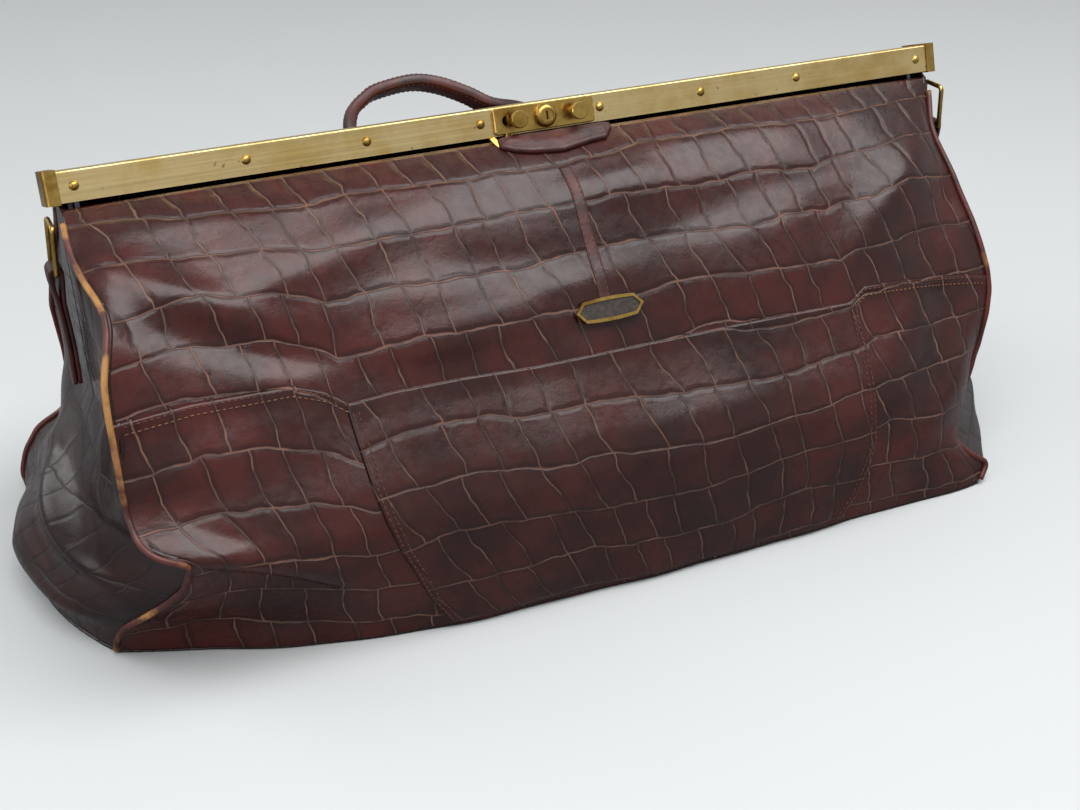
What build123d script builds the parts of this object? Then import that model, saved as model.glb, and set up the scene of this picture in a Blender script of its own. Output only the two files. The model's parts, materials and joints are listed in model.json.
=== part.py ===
from build123d import *
import math
import os

import numpy as np

# A travelling doctor's bag: a soft leather body hung from a pair of hinged,
# brass-edged steel frames. Millimetres, +X along the mouth, -Y is the front,
# z = 0 is the floor under the middle of the body.

# Mouth frame
FRAME_LENGTH = 560.0        # brass channel, end to end
CHANNEL_HEIGHT = 17.0
CHANNEL_DEPTH = 11.7        # front to back of one channel
CHANNEL_WALL = 1.2
MOUTH_GAP = 0.6             # between the two closed channels
FRAME_TILT = 18.0           # the closed mouth leans back by this many degrees
FRAME_Y = -14.0             # middle of the front channel's face
FRAME_Z = 245.0             # and its height
ARM_DROP = 92.0             # from the middle of the channel down to the hinge pin
RAIL_WIDTH = 11.5
STEEL = 2.5                 # thickness of the frame's steel
RAIL_PLAY = 0.1             # between the rail and the channel's walls
ARM_INSET = 7.5             # from the channel's end to the front arm
ARM_GAP = 0.3
PIN_DIAMETER = 5.0
PIN_FIT = 0.05              # radial clearance of every running fit
EYE_RADIUS = 6.0
CAP_LENGTH = 7.6
CAP_LIP = 0.8               # how far a corner cap stands proud of its channel
CAP_ROUNDING = 3.0
CAP_GAP = 0.2
PIN_HEAD = 1.5
HINGE_PLATE = 1.6
HINGE_PLATE_WIDTH = 26.0
HINGE_PLATE_HEIGHT = 34.0
PLATE_INNER = FRAME_LENGTH / 2 - ARM_INSET + ARM_GAP + STEEL + ARM_GAP

# Rivets through the channel's face
RIVET_FIRST = 39.0          # from the middle of the bag
RIVET_SPACING = 70.0
RIVET_END = 8.0             # of the last one, from the channel's end
RIVET_HEAD = 5.5
RIVET_RISE = 1.6
RIVET_SHANK = 2.6

# Leather
LEATHER = 3.0
TRIM = 1.6                  # thinner leather: welt, pocket, lock pad
SKIN_GAP = 0.15             # between a leather piece and the one it is sewn on
PIPING_DIAMETER = 5.0
PIPING_STANDOFF = 1.2       # from the corner that the piping follows
PIPING_END = 4.0            # of the piping below the panel's top edge
PIPING_FOOT = 6.0           # of the piping above the floor
BASE_BOARD = 3.0
LINING = 0.8
LINING_GAP = 0.4
TUCK_TOP = -0.7             # edge of the leather held inside the channel, up its face
TUCK_FOOT = -14.5
TUCK_GAP = 0.4

# Lock
LOCK_X = 1.3
PLATE_LENGTH = 65.0
PLATE_HEIGHT = 15.5
PLATE_THICKNESS = 2.6
KNOB_PLACE = 19.5           # from the lock's middle
KNOB_DIAMETER = 10.4
KNOB_DISC = 2.6
KNOB_REACH = 11.0           # from the channel's face to the knob's flat top
KNOB_STEM = 6.0
KNOB_TRAVEL = 5.0
COLLAR_DIAMETER = 14.0
COLLAR_RISE = 4.2
PLUG_DIAMETER = 8.0
CATCH_THICKNESS = 2.5
CATCH_PLACE = 11.5
CATCH_HEIGHT = 5.0
SLIDER_HEIGHT = 8.0
SLIDER_DEPTH = 5.0
BOLT_DEPTH = 3.5            # middle of the bolt, behind the channel's face
BOLT_HEIGHT = 2.4
BOLT_THICKNESS = 2.0
BOLT_PLAY = 0.3
SLIDER_WALL = 1.0           # of the slider outside the knob's stem
WINDOW_HEIGHT = 10.4
SLOT_PLAY = 0.5             # beside a catch, where it passes the inner walls
CATCH_DROP = 1.2            # above and below it, for the swing of the frame
CATCH_LIP = 1.5             # of the catch in front of the bolt
PLUG_FLANGE = 1.0
PLUG_RECESS = 0.6
KEY_SLOT = (1.3, 5.0, 3.0)  # across, along and deep

# Handle: a strap on two pins behind the rear channel
HANDLE_SPAN = 213.0         # between the middles of its two ends
HANDLE_THICKNESS = 7.0
HANDLE_END_WIDTH = 9.0
HANDLE_WIDTH = 16.0
HANDLE_PIN = 4.0
HANDLE_PIN_STAND = 9.0      # from the rear channel's back to the pin's middle
HANDLE_PIN_UP = -1.0        # from the channel's middle, up along its back
EYELET_RADIUS = 3.2
CHEEK_THICKNESS = 2.0
CHEEK_GAP = 0.3
BRACKET_LENGTH = 32.0
BRACKET_HEIGHT = 14.0
BRACKET_FOOT = 1.5
BRACKET_RIVET = 12.75       # from the bracket's middle

# Strap rings and their tabs
RING_WIRE = 3.0
RING_WIDTH = 20.0
RING_HEIGHT = 30.0
RING_LEAN = 3.0
RING_Z = 200.0
RING_Y = -16.0
TAB_WIDTH = 13.0
TAB_LAYER = 2.8
TAB_INNER = 284.6           # the tab's inner face, from the middle of the bag
TAB_EYE = RING_WIRE / 2 + 0.2
TAB_FOOT_GAP = 2.0          # above the waist
RING_X = TAB_INNER + TAB_LAYER + TAB_EYE

# Badge
BADGE_LENGTH = 43.0
BADGE_HEIGHT = 14.0
BADGE_RIM = 2.0
BADGE_THICKNESS = 2.2
BADGE_Z = 158.0
BADGE_SLOPE = 29.0
BADGE_STANDOFF = 0.9        # the panel bulges up to this far behind the rim
INLAY_DEPTH = 0.8           # of the inlay's face below the rim
SHOULDER_RISE = 0.86        # height of the badge's shoulders, as a share of its half height
SHOULDER_RUN = 0.75

# Pocket
POCKET_TOP = 133.0
POCKET_TOP_WIDTH = 322.0
POCKET_FOOT_WIDTH = 262.0
POCKET_FOOT = 6.0
POCKET_BELLY = 22.0         # how far its sides bulge past the foot's width
POCKET_BELLY_HEIGHT = 60.0
POCKET_ROUNDING = 18.0

BEYOND = 1200.0             # a cutting shape's reach, past the whole bag

# Places along the body's height
BASE_THICKNESS = 3.0
WAIST = 130.0               # seam between the upper and lower panels
WELT_FOOT = 166.0
WELT_TOP = 222.0
WELT_WIDTH = 7.0
PAD_FOOT = 222.6
PAD_TOP = 230.5
PAD_MARGIN = 5.0            # of the lock pad past the plate's ends
PAD_SHIFT = 4.0             # of its middle to the right of the lock's

# Shape of the body. Each row: height, how far the middle of the panel bulges out,
# how far out its corners stand, and where the corners are along the mouth.
FRONT_LOWER = (
    (BASE_THICKNESS, 148.0, 112.0, 292.0),
    (20.0, 154.0, 115.0, 290.0),
    (45.0, 156.0, 114.0, 287.0),
    (70.0, 154.0, 112.0, 285.0),
    (95.0, 144.0, 110.0, 284.0),
    (WAIST, 118.0, 100.0, 282.5),
)
FRONT_UPPER = (
    (150.0, 110.0, 88.0, 281.0),
    (168.0, 98.0, 66.0, 279.0),
    (190.0, 82.0, 46.0, 277.5),
    (209.0, 66.0, 31.0, 277.5),
    (222.0, 45.0, 22.0, 278.5),
    (232.0, 17.5, 17.5, 279.8),
)
REAR_LOWER = (
    (BASE_THICKNESS, 149.0, 109.0, 292.0),
    (20.0, 155.0, 112.0, 290.0),
    (45.0, 156.0 + SKIN_GAP + TRIM, 111.0, 287.0),
    (70.0, 155.0, 109.0, 285.0),
    (95.0, 145.0, 107.0, 284.0),
    (WAIST, 121.0, 98.0, 282.5),
)
REAR_UPPER = (
    (150.0, 109.0, 84.0, 281.0),
    (168.0, 95.0, 66.0, 279.0),
    (190.0, 76.0, 46.0, 277.5),
    (209.0, 55.0, 30.0, 277.5),
    (220.0, 34.0, 18.0, 278.5),
    (227.5, 4.5, 4.5, 279.8),
)
# Height, and how far the gusset's middle stands from the middle of the bag.
GUSSET = (
    (BASE_THICKNESS, 325.0),
    (20.0, 331.0),
    (45.0, 328.0),
    (70.0, 318.0),
    (95.0, 303.0),
    (WAIST, 284.5),
    (150.0, 283.0),
)
WING_X = 282.0              # the leather that wraps the arms, at the gusset's top
PANEL_BOXINESS = 6.0        # exponent of the panels' plan curve
GUSSET_BOXINESS = 2.5
FRONT_TABLE = FRONT_LOWER + FRONT_UPPER
REAR_TABLE = REAR_LOWER + REAR_UPPER

# Middle line of the handle, from the left pin to the right one: place along the mouth,
# distance from the pins' axis, lean back from upright in degrees, and width.
HANDLE_LINE = (
    (-HANDLE_SPAN / 2, 0.0, 35.0, HANDLE_END_WIDTH),
    (-HANDLE_SPAN / 2, 10.0, 35.0, HANDLE_END_WIDTH),
    (-102.5, 19.0, 35.0, 12.0),
    (-95.0, 24.6, 35.0, 15.0),
    (-86.0, 28.7, 35.0, HANDLE_WIDTH),
    (-64.0, 31.3, 35.0, HANDLE_WIDTH),
    (-47.5, 27.8, 35.0, HANDLE_WIDTH),
    (-30.6, 19.3, 35.0, HANDLE_WIDTH),
    (-15.0, 10.0, 43.0, HANDLE_WIDTH),
    (12.0, 8.5, 80.0, HANDLE_WIDTH),
    (38.0, 12.0, 98.0, HANDLE_WIDTH),
    (62.0, 18.0, 103.0, HANDLE_WIDTH),
    (85.0, 21.0, 103.0, HANDLE_WIDTH),
    (99.0, 18.0, 103.0, 13.0),
    (HANDLE_SPAN / 2, 9.0, 103.0, HANDLE_END_WIDTH),
    (HANDLE_SPAN / 2, 0.0, 103.0, HANDLE_END_WIDTH),
)

# Frame directions: out of the front channel's face, and up along it
SIN_TILT = math.sin(math.radians(FRAME_TILT))
COS_TILT = math.cos(math.radians(FRAME_TILT))
OUTWARD = (0.0, -COS_TILT, SIN_TILT)
FACE = Plane(origin=(0, FRAME_Y, FRAME_Z), x_dir=(1, 0, 0), z_dir=OUTWARD)
SIDE = Plane(origin=(0, FRAME_Y, FRAME_Z), x_dir=OUTWARD, z_dir=(-1, 0, 0))
HALF_GAP = MOUTH_GAP / 2
MID_DEPTH = CHANNEL_DEPTH + HALF_GAP
PIVOT_Y = FRAME_Y + MID_DEPTH * COS_TILT - ARM_DROP * SIN_TILT
PIVOT_Z = FRAME_Z - MID_DEPTH * SIN_TILT - ARM_DROP * COS_TILT

# Surfaces across the closed frame, measured outwards from the front channel's face
REAR_INNER = -(CHANNEL_DEPTH + MOUTH_GAP)
REAR_BACK = REAR_INNER - CHANNEL_DEPTH
FRONT_RAIL = -(CHANNEL_DEPTH - CHANNEL_WALL - RAIL_PLAY - STEEL / 2)
REAR_RAIL = REAR_INNER - CHANNEL_WALL - RAIL_PLAY - STEEL / 2
FRONT_TUCK = -(CHANNEL_WALL + TUCK_GAP + LEATHER / 2)
REAR_TUCK = REAR_BACK - FRONT_TUCK

# The handle's axis
HANDLE_OUT = REAR_BACK - HANDLE_PIN_STAND
HANDLE_Y = FRAME_Y - HANDLE_OUT * COS_TILT + HANDLE_PIN_UP * SIN_TILT
HANDLE_Z = FRAME_Z + HANDLE_OUT * SIN_TILT + HANDLE_PIN_UP * COS_TILT


def row_at(table, z):
    """The row of a shape table at a height, read between the rows given."""
    heights = [row[0] for row in table]
    return [float(np.interp(z, heights, column)) for column in zip(*[row[1:] for row in table])]


def slit_y(z):
    """Where the closed mouth's middle plane passes, at a height."""
    return PIVOT_Y + (z - PIVOT_Z) * SIN_TILT / COS_TILT


def panel_curve(z, table, side, inset, reverse=False):
    """Plan curve of a front (side -1) or rear (side 1) panel, from corner to corner."""
    middle, edge, corner = row_at(table, z)
    middle, edge, corner = middle - inset, edge - inset, corner - inset
    points = []
    for share in (-1.0, -0.93, -0.78, -0.42, 0.0, 0.42, 0.78, 0.93, 1.0):
        bulge = (middle - edge) * (1 - abs(share) ** PANEL_BOXINESS)
        points.append((corner * share, side * (edge + bulge), z))
    if reverse:
        points.reverse()
    return points


def gusset_curve(z, side, inset, reverse=False):
    """Plan curve of the left (side -1) or right (side 1) gusset, front to rear."""
    front = row_at(FRONT_TABLE, z)
    rear = row_at(REAR_TABLE, z)
    corner = front[2] - inset
    middle = row_at(GUSSET, z)[0] - inset
    start, end = -(front[1] - inset), rear[1] - inset
    points = []
    for share in (-1.0, -0.8, -0.45, 0.0, 0.45, 0.8, 1.0):
        y = start + (end - start) * (share + 1) / 2
        x = corner + (middle - corner) * (1 - abs(share) ** GUSSET_BOXINESS)
        points.append((side * x, y, z))
    if reverse:
        points.reverse()
    return points


def wall_face(outer, inner):
    """Face between two plan curves that run the same way, closed by straight ends."""
    edges = [
        Spline(*outer),
        Line(outer[-1], inner[-1]),
        Spline(*inner[::-1]),
        Line(inner[0], outer[0]),
    ]
    return make_face(edges)


def heights_between(table, low, high):
    """Every height of a table from low to high, both included."""
    inside = [row[0] for row in table if low < row[0] < high]
    return [low, *inside, high]


def panel_band(table, side, low, high, outset, thickness):
    """Wall of a panel between two heights, its outer skin moved out by outset."""
    faces = []
    for z in heights_between(table, low, high):
        outer = panel_curve(z, table, side, -outset)
        inner = panel_curve(z, table, side, thickness - outset)
        faces.append(wall_face(outer, inner))
    return loft(faces, ruled=True)


def gusset_wall(side):
    """The gusset's leather, from the base up to its top edge at the hinge."""
    faces = []
    for z in heights_between(GUSSET, BASE_THICKNESS, GUSSET[-1][0]):
        faces.append(wall_face(gusset_curve(z, side, 0.0), gusset_curve(z, side, LEATHER)))
    return loft(faces, ruled=True)


def plan_face(z, inset):
    """Whole plan of the body at a height, as one closed face."""
    front = panel_curve(z, FRONT_TABLE, -1, inset)
    right = gusset_curve(z, 1, inset)
    rear = panel_curve(z, REAR_TABLE, 1, inset, reverse=True)
    left = gusset_curve(z, -1, inset, reverse=True)
    return make_face([Spline(*curve) for curve in (front, right, rear, left)])


def base_leather():
    """Flat leather under the body."""
    return extrude(plan_face(BASE_THICKNESS, 0.0), -BASE_THICKNESS)


def base_stiffener():
    """Fibre board that lies on the base leather inside the walls."""
    inset = LEATHER + LINING_GAP + LINING + LINING_GAP + TRIM
    return extrude(plan_face(BASE_THICKNESS, inset), BASE_BOARD)


def lining_wall():
    """Cloth lining of the lower body, open at the top and standing on the base."""
    outer, inner = [], []
    for z in heights_between(FRONT_LOWER, BASE_THICKNESS, WAIST - TRIM):
        outer.append(plan_face(z, LEATHER + LINING_GAP))
        inner.append(plan_face(z, LEATHER + LINING_GAP + LINING))
    return loft(outer, ruled=True) - loft(inner, ruled=True)


def wing(table, side, end):
    """Leather that turns round one end of the frame, from the corner to the mouth's slit."""
    low, high = table[0][0], table[-1][0]
    faces = []
    for row in table:
        z, edge, corner = row[0], row[2], row[3]
        slit = slit_y(z) + side * HALF_GAP
        reach = WING_X + (corner - WING_X) * (z - low) / (high - low)
        reach = max(reach, corner)
        outer = [(end * corner, side * edge, z), (end * reach, slit, z)]
        inner = [
            (end * (corner - LEATHER), side * (edge - LEATHER), z),
            (end * (reach - LEATHER), slit, z),
        ]
        faces.append(make_face(Polyline(outer[0], outer[1], inner[1], inner[0], close=True)))
    return loft(faces, ruled=True)


def upper_panel(lower, upper, side, tuck_depth):
    """Upper leather of one side: panel, two wings and the edge tucked into the channel."""
    table = (lower[-1], *upper)
    panel = panel_band(table, side, WAIST, table[-1][0], 0.0, LEATHER)
    for end in (-1, 1):
        panel += wing(upper, side, end)
    height = TUCK_TOP - TUCK_FOOT
    length = FRAME_LENGTH - 2 * ARM_INSET
    tuck = FACE * Pos(0, TUCK_FOOT + height / 2, tuck_depth) * Box(length, height, LEATHER)
    return panel + tuck


def lock_window():
    """Opening for the lock's works, through the channel face and the leather behind it."""
    low, high = FRONT_RAIL - STEEL / 2, 1.0
    length = 2 * (KNOB_PLACE + KNOB_STEM / 2 + SLIDER_WALL + KNOB_TRAVEL + BOLT_PLAY)
    return FACE * Pos(LOCK_X, 0, (low + high) / 2) * Box(length, WINDOW_HEIGHT, high - low)


def channel(front):
    """Brass channel, open at the bottom, with a rounded top."""
    near = 0.0 if front else REAR_INNER
    middle = near - CHANNEL_DEPTH / 2
    body = Box(FRAME_LENGTH, CHANNEL_HEIGHT, CHANNEL_DEPTH)
    body = fillet(body.edges().filter_by(Axis.X).group_by(Axis.Y)[-1], CHANNEL_WALL)
    hollow = Box(
        FRAME_LENGTH + 2,
        CHANNEL_HEIGHT - CHANNEL_WALL,
        CHANNEL_DEPTH - 2 * CHANNEL_WALL,
    )
    body -= Pos(0, -CHANNEL_WALL / 2 - 0.001, 0) * hollow
    face_out = CHANNEL_DEPTH / 2 if front else -CHANNEL_DEPTH / 2
    for x in rivet_row(front):
        body -= Pos(x, 0, face_out) * Cylinder(RIVET_SHANK / 2 + PIN_FIT, 2 * CHANNEL_WALL + 1)
    return FACE * Pos(0, 0, middle) * body


def rivet_row(front):
    """Places of a channel's rivets. At the rear the handle brackets take one pair's place."""
    places = [RIVET_FIRST + step * RIVET_SPACING for step in range(3)]
    places.append(FRAME_LENGTH / 2 - RIVET_END)
    if not front:
        places = [x for x in places if abs(x - HANDLE_SPAN / 2) > BRACKET_LENGTH / 2]
    return [side * x for side in (-1, 1) for x in places]


def domed_rivet(shank):
    """One domed rivet, its head's underside at z = 0 and its shank below."""
    radius = (RIVET_HEAD**2 / 4 + RIVET_RISE**2) / (2 * RIVET_RISE)
    cap = Pos(0, 0, RIVET_RISE - radius) * Sphere(radius)
    cap &= Pos(0, 0, RIVET_RISE) * Box(RIVET_HEAD * 2, RIVET_HEAD * 2, RIVET_RISE * 2)
    return cap + Pos(0, 0, -shank / 2) * Cylinder(RIVET_SHANK / 2, shank)


def rivet_group(front):
    """Domed rivets of one channel, as separate solids."""
    base = 0.0 if front else REAR_BACK
    one = domed_rivet(CHANNEL_WALL)
    if not front:
        one = mirror(one, Plane.XY)
    return Compound(children=[FACE * Pos(x, 0, base) * one for x in rivet_row(front)])


def steel_frame(front):
    """Bent steel core: a rail in the channel and an arm at each end with a hinge eye."""
    rail_n = FRONT_RAIL if front else REAR_RAIL
    arm_outer = FRAME_LENGTH / 2 - ARM_INSET
    arm_inner = arm_outer - STEEL if front else arm_outer + ARM_GAP
    rail_top = CHANNEL_HEIGHT / 2 - CHANNEL_WALL - RAIL_PLAY
    rail_middle = rail_top - RAIL_WIDTH / 2
    rail_length = 2 * (arm_inner + STEEL)
    core = FACE * Pos(0, rail_middle, rail_n) * Box(rail_length, RAIL_WIDTH, STEEL)
    for side in (-1, 1):
        core += arm(side * arm_inner, side, rail_n, rail_top)
    return core


def arm(x, side, rail_n, rail_top):
    """Flat arm from the rail's end down to its eye round the hinge pin."""
    eye = Pos(-MID_DEPTH, -ARM_DROP) * Circle(EYE_RADIUS)
    head_foot = -CHANNEL_HEIGHT / 2 - 1.0
    head_middle = (rail_top + head_foot) / 2
    head = Pos(rail_n, head_middle) * Rectangle(STEEL, rail_top - head_foot)
    neck = Pos(rail_n, head_foot) * Rectangle(STEEL, 1.0)
    blade = make_hull(eye.edges() + neck.edges()) + head
    blade -= Pos(-MID_DEPTH, -ARM_DROP) * Circle(PIN_DIAMETER / 2 + PIN_FIT)
    solid = extrude(SIDE * blade, STEEL)
    return Pos(x + (STEEL if side > 0 else 0.0), 0, 0) * solid


def corner_cap(front, side):
    """Brass corner that closes one end of a channel."""
    depth = CHANNEL_DEPTH + CAP_LIP
    height = CHANNEL_HEIGHT + 2 * CAP_LIP
    block = Box(CAP_LENGTH, height, depth)
    outer = block.edges().filter_by(Axis.Y).group_by(Axis.X)[-1 if side > 0 else 0]
    outer_edge = outer.group_by(Axis.Z)[-1 if front else 0]
    block = fillet(outer_edge, CAP_ROUNDING)
    place = FRAME_LENGTH / 2 + CAP_GAP + CAP_LENGTH / 2
    if front:
        near = CAP_LIP - depth / 2
    else:
        near = REAR_BACK - CAP_LIP + depth / 2
    return FACE * Pos(side * place, 0, near) * block


def hinge_pin(side):
    """Pin through both arms' eyes, headed inside the bag, its tail in the hinge plate."""
    inner = FRAME_LENGTH / 2 - ARM_INSET - STEEL - ARM_GAP
    outer = PLATE_INNER + HINGE_PLATE
    length = outer - inner
    pin = Cylinder(PIN_DIAMETER / 2, length)
    pin += Pos(0, 0, -(length + PIN_HEAD) / 2) * Cylinder(PIN_DIAMETER, PIN_HEAD)
    turn = Rot(0, 90, 0) if side > 0 else Rot(0, -90, 0)
    return Pos(side * (inner + outer) / 2, PIVOT_Y, PIVOT_Z) * turn * pin


def hinge_plate(side):
    """Plate against the gusset that holds the hinge pin."""
    sketch = RectangleRounded(HINGE_PLATE_WIDTH, HINGE_PLATE_HEIGHT, EYE_RADIUS - 1)
    sketch = Pos(0, EYE_RADIUS - HINGE_PLATE_HEIGHT / 2) * sketch
    sketch -= Circle(PIN_DIAMETER / 2)
    centre = (side * PLATE_INNER, PIVOT_Y, PIVOT_Z)
    upright = Plane(origin=centre, x_dir=(0, side, 0), z_dir=(side, 0, 0))
    return extrude(upright * sketch, HINGE_PLATE)


def lock_plate():
    """Plate on the channel's face with a slot for each knob and a bore for the plug."""
    plate = Box(PLATE_LENGTH, PLATE_HEIGHT, PLATE_THICKNESS)
    plate = fillet(plate.edges().filter_by(Axis.Z), 2.0)
    plate = chamfer(plate.faces().sort_by(Axis.Z)[-1].edges(), 0.5)
    plate -= Cylinder(PLUG_DIAMETER / 2 + PIN_FIT, PLATE_THICKNESS + 1)
    width = KNOB_STEM + 2 * PIN_FIT
    for side in (-1, 1):
        slot = SlotCenterToCenter(KNOB_TRAVEL, width)
        cut = extrude(slot, PLATE_THICKNESS + 1, both=True)
        plate -= Pos(side * (KNOB_PLACE + KNOB_TRAVEL / 2), 0, 0) * cut
    return FACE * Pos(LOCK_X, 0, PLATE_THICKNESS / 2) * plate


def knob(side):
    """Thumb knob on a stem, with a slider behind the plate and a bolt beside the catch."""
    disc = Pos(0, 0, KNOB_REACH - KNOB_DISC / 2) * Cylinder(KNOB_DIAMETER / 2, KNOB_DISC)
    disc = chamfer(disc.edges().group_by(Axis.Z)[-1], 0.5)
    stem = Pos(0, 0, (KNOB_REACH - KNOB_DISC) / 2) * Cylinder(KNOB_STEM / 2, KNOB_REACH - KNOB_DISC)
    slider_half = KNOB_STEM / 2 + SLIDER_WALL
    slider = Pos(0, 0, -SLIDER_DEPTH / 2) * Box(2 * slider_half, SLIDER_HEIGHT, SLIDER_DEPTH)
    tip = CATCH_PLACE + CATCH_THICKNESS / 2 + BOLT_PLAY
    bolt_length = KNOB_PLACE - slider_half - tip
    bolt_x = -side * (slider_half + bolt_length / 2)
    bolt = Pos(bolt_x, 0, -BOLT_DEPTH) * Box(bolt_length, BOLT_HEIGHT, BOLT_THICKNESS)
    body = disc + stem + slider + bolt
    return FACE * Pos(LOCK_X + side * KNOB_PLACE, 0, 0) * body


def keyhole_collar():
    """Domed ring round the key plug."""
    ring = Cylinder(COLLAR_DIAMETER / 2, COLLAR_RISE)
    ring = fillet(ring.edges().group_by(Axis.Z)[-1], COLLAR_RISE - 0.8)
    ring -= Cylinder(PLUG_DIAMETER / 2 + PIN_FIT, COLLAR_RISE + 1)
    return FACE * Pos(LOCK_X, 0, PLATE_THICKNESS + COLLAR_RISE / 2) * ring


def key_plug():
    """Turning plug with the key slot, kept in by a flange behind the plate."""
    top = PLATE_THICKNESS + COLLAR_RISE - PLUG_RECESS
    across, along, deep = KEY_SLOT
    foot = -PLUG_FLANGE - PIN_FIT
    body = Pos(0, 0, (top + foot) / 2) * Cylinder(PLUG_DIAMETER / 2, top - foot)
    body += Pos(0, 0, foot + PLUG_FLANGE / 2) * Cylinder(PLUG_DIAMETER / 2 + 1.0, PLUG_FLANGE)
    body -= Pos(0, 0, top) * Box(across, along, 2 * deep)
    return FACE * Pos(LOCK_X, 0, 0) * body


def catches():
    """Two steel tongues on the rear rail that reach through into the lock."""
    foot = REAR_RAIL + STEEL / 2
    tip = -BOLT_DEPTH + BOLT_THICKNESS / 2 + BOLT_PLAY + CATCH_LIP
    hole = Box(2 * CATCH_THICKNESS, BOLT_HEIGHT + 2 * BOLT_PLAY, BOLT_THICKNESS + 2 * BOLT_PLAY)
    parts = []
    for side in (-1, 1):
        tongue = Pos(0, 0, (tip + foot) / 2) * Box(CATCH_THICKNESS, CATCH_HEIGHT, tip - foot)
        tongue -= Pos(0, 0, -BOLT_DEPTH) * hole
        parts.append(FACE * Pos(LOCK_X + side * CATCH_PLACE, 0, 0) * tongue)
    return Compound(children=parts)


def catch_slots():
    """Clearance for the catches through the inner walls and the front rail."""
    near, far = -STEEL, REAR_INNER - CHANNEL_WALL - RAIL_PLAY
    width, height = CATCH_THICKNESS + 2 * SLOT_PLAY, CATCH_HEIGHT + 2 * CATCH_DROP
    cut = []
    for side in (-1, 1):
        box = Box(width, height, near - far)
        cut.append(FACE * Pos(LOCK_X + side * CATCH_PLACE, 0, (near + far) / 2) * box)
    return cut[0] + cut[1]


def handle_place(x, reach, lean):
    """A point of the handle, at a distance and a lean from the pins' axis."""
    angle = math.radians(lean)
    return Vector(x, HANDLE_Y + reach * math.sin(angle), HANDLE_Z + reach * math.cos(angle))


def along_mouth(radius, length, x):
    """Cylinder on the handle's axis."""
    return Pos(x, HANDLE_Y, HANDLE_Z) * Rot(0, 90, 0) * Cylinder(radius, length)


def handle_bracket(side):
    """Plate on the rear channel with two cheeks that hold the handle's pin."""
    x = side * HANDLE_SPAN / 2
    foot = Box(BRACKET_LENGTH, BRACKET_HEIGHT, BRACKET_FOOT)
    body = FACE * Pos(x, 0, REAR_BACK - BRACKET_FOOT / 2) * foot
    round_end = HANDLE_PIN_STAND / 2
    for end in (-1, 1):
        place = x + end * (HANDLE_THICKNESS / 2 + CHEEK_GAP + CHEEK_THICKNESS / 2)
        rib = Box(CHEEK_THICKNESS, 2 * round_end, HANDLE_PIN_STAND)
        body += FACE * Pos(place, HANDLE_PIN_UP, REAR_BACK - HANDLE_PIN_STAND / 2) * rib
        body += along_mouth(round_end, CHEEK_THICKNESS, place)
        hole = Cylinder(RIVET_SHANK / 2 + PIN_FIT, 3 * BRACKET_FOOT)
        body -= FACE * Pos(x + end * BRACKET_RIVET, 0, REAR_BACK) * hole
    return body - along_mouth(HANDLE_PIN / 2, BRACKET_LENGTH, x)


def handle_pin(side):
    """Pin through a bracket's cheeks, headed at both ends."""
    x = side * HANDLE_SPAN / 2
    outer = HANDLE_THICKNESS / 2 + CHEEK_GAP + CHEEK_THICKNESS
    pin = along_mouth(HANDLE_PIN / 2, 2 * outer, x)
    for end in (-1, 1):
        pin += along_mouth(HANDLE_PIN * 0.8, PIN_HEAD, x + end * (outer + PIN_HEAD / 2))
    return pin


def bracket_rivets():
    """Four rivets that hold the handle brackets to the rear channel."""
    one = mirror(domed_rivet(BRACKET_FOOT), Plane.XY)
    rivets = []
    for side in (-1, 1):
        for end in (-1, 1):
            x = side * HANDLE_SPAN / 2 + end * BRACKET_RIVET
            rivets.append(FACE * Pos(x, 0, REAR_BACK - BRACKET_FOOT) * one)
    return Compound(children=rivets)


def handle_section(before, place, after, lean, width):
    """Cross-section of the strap, square to its run."""
    angle = math.radians(lean)
    run = (after - before).normalized()
    across = Vector(0, -math.cos(angle), math.sin(angle))
    across = (across - run * across.dot(run)).normalized()
    plane = Plane(origin=place, x_dir=across, z_dir=run)
    return plane * Rectangle(width, HANDLE_THICKNESS)


def handle_strap():
    """Leather handle, its left part standing and its right part fallen back."""
    places = [handle_place(x, reach, lean) for x, reach, lean, _ in HANDLE_LINE]
    sections = []
    for index, (_, _, lean, width) in enumerate(HANDLE_LINE):
        before = places[max(index - 1, 0)]
        after = places[min(index + 1, len(places) - 1)]
        sections.append(handle_section(before, places[index], after, lean, width))
    strap = loft(sections, ruled=True)
    for side in (-1, 1):
        strap += along_mouth(HANDLE_END_WIDTH / 2, HANDLE_THICKNESS, side * HANDLE_SPAN / 2)
        strap -= along_mouth(EYELET_RADIUS, BRACKET_LENGTH, side * HANDLE_SPAN / 2)
    return strap


def handle_eyelets():
    """Brass eyelets in the handle's two ends, turning on the pins."""
    rings = []
    for side in (-1, 1):
        ring = along_mouth(EYELET_RADIUS, HANDLE_THICKNESS, side * HANDLE_SPAN / 2)
        ring -= along_mouth(HANDLE_PIN / 2 + PIN_FIT, BRACKET_LENGTH, side * HANDLE_SPAN / 2)
        rings.append(ring)
    return Compound(children=rings)


def strap_ring(side):
    """Rectangular ring standing on its tab, leaning on the corner cap's end."""
    half = (RING_WIDTH - RING_WIRE) / 2
    tall = RING_HEIGHT - RING_WIRE
    path = FilletPolyline(
        (0.5, 0), (half, 0), (half, tall), (-half, tall), (-half, 0), (-0.5, 0), radius=2.5
    )
    ring = sweep(Plane(origin=(0.5, 0, 0), z_dir=(1, 0, 0)) * Circle(RING_WIRE / 2), path)
    ring += Rot(0, 90, 0) * Cylinder(RING_WIRE / 2, 2.0)
    lean = math.radians(RING_LEAN)
    facing = (math.cos(lean), 0, side * math.sin(lean))
    return Plane(origin=(side * RING_X, RING_Y, RING_Z), x_dir=(0, 1, 0), z_dir=facing) * ring


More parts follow.
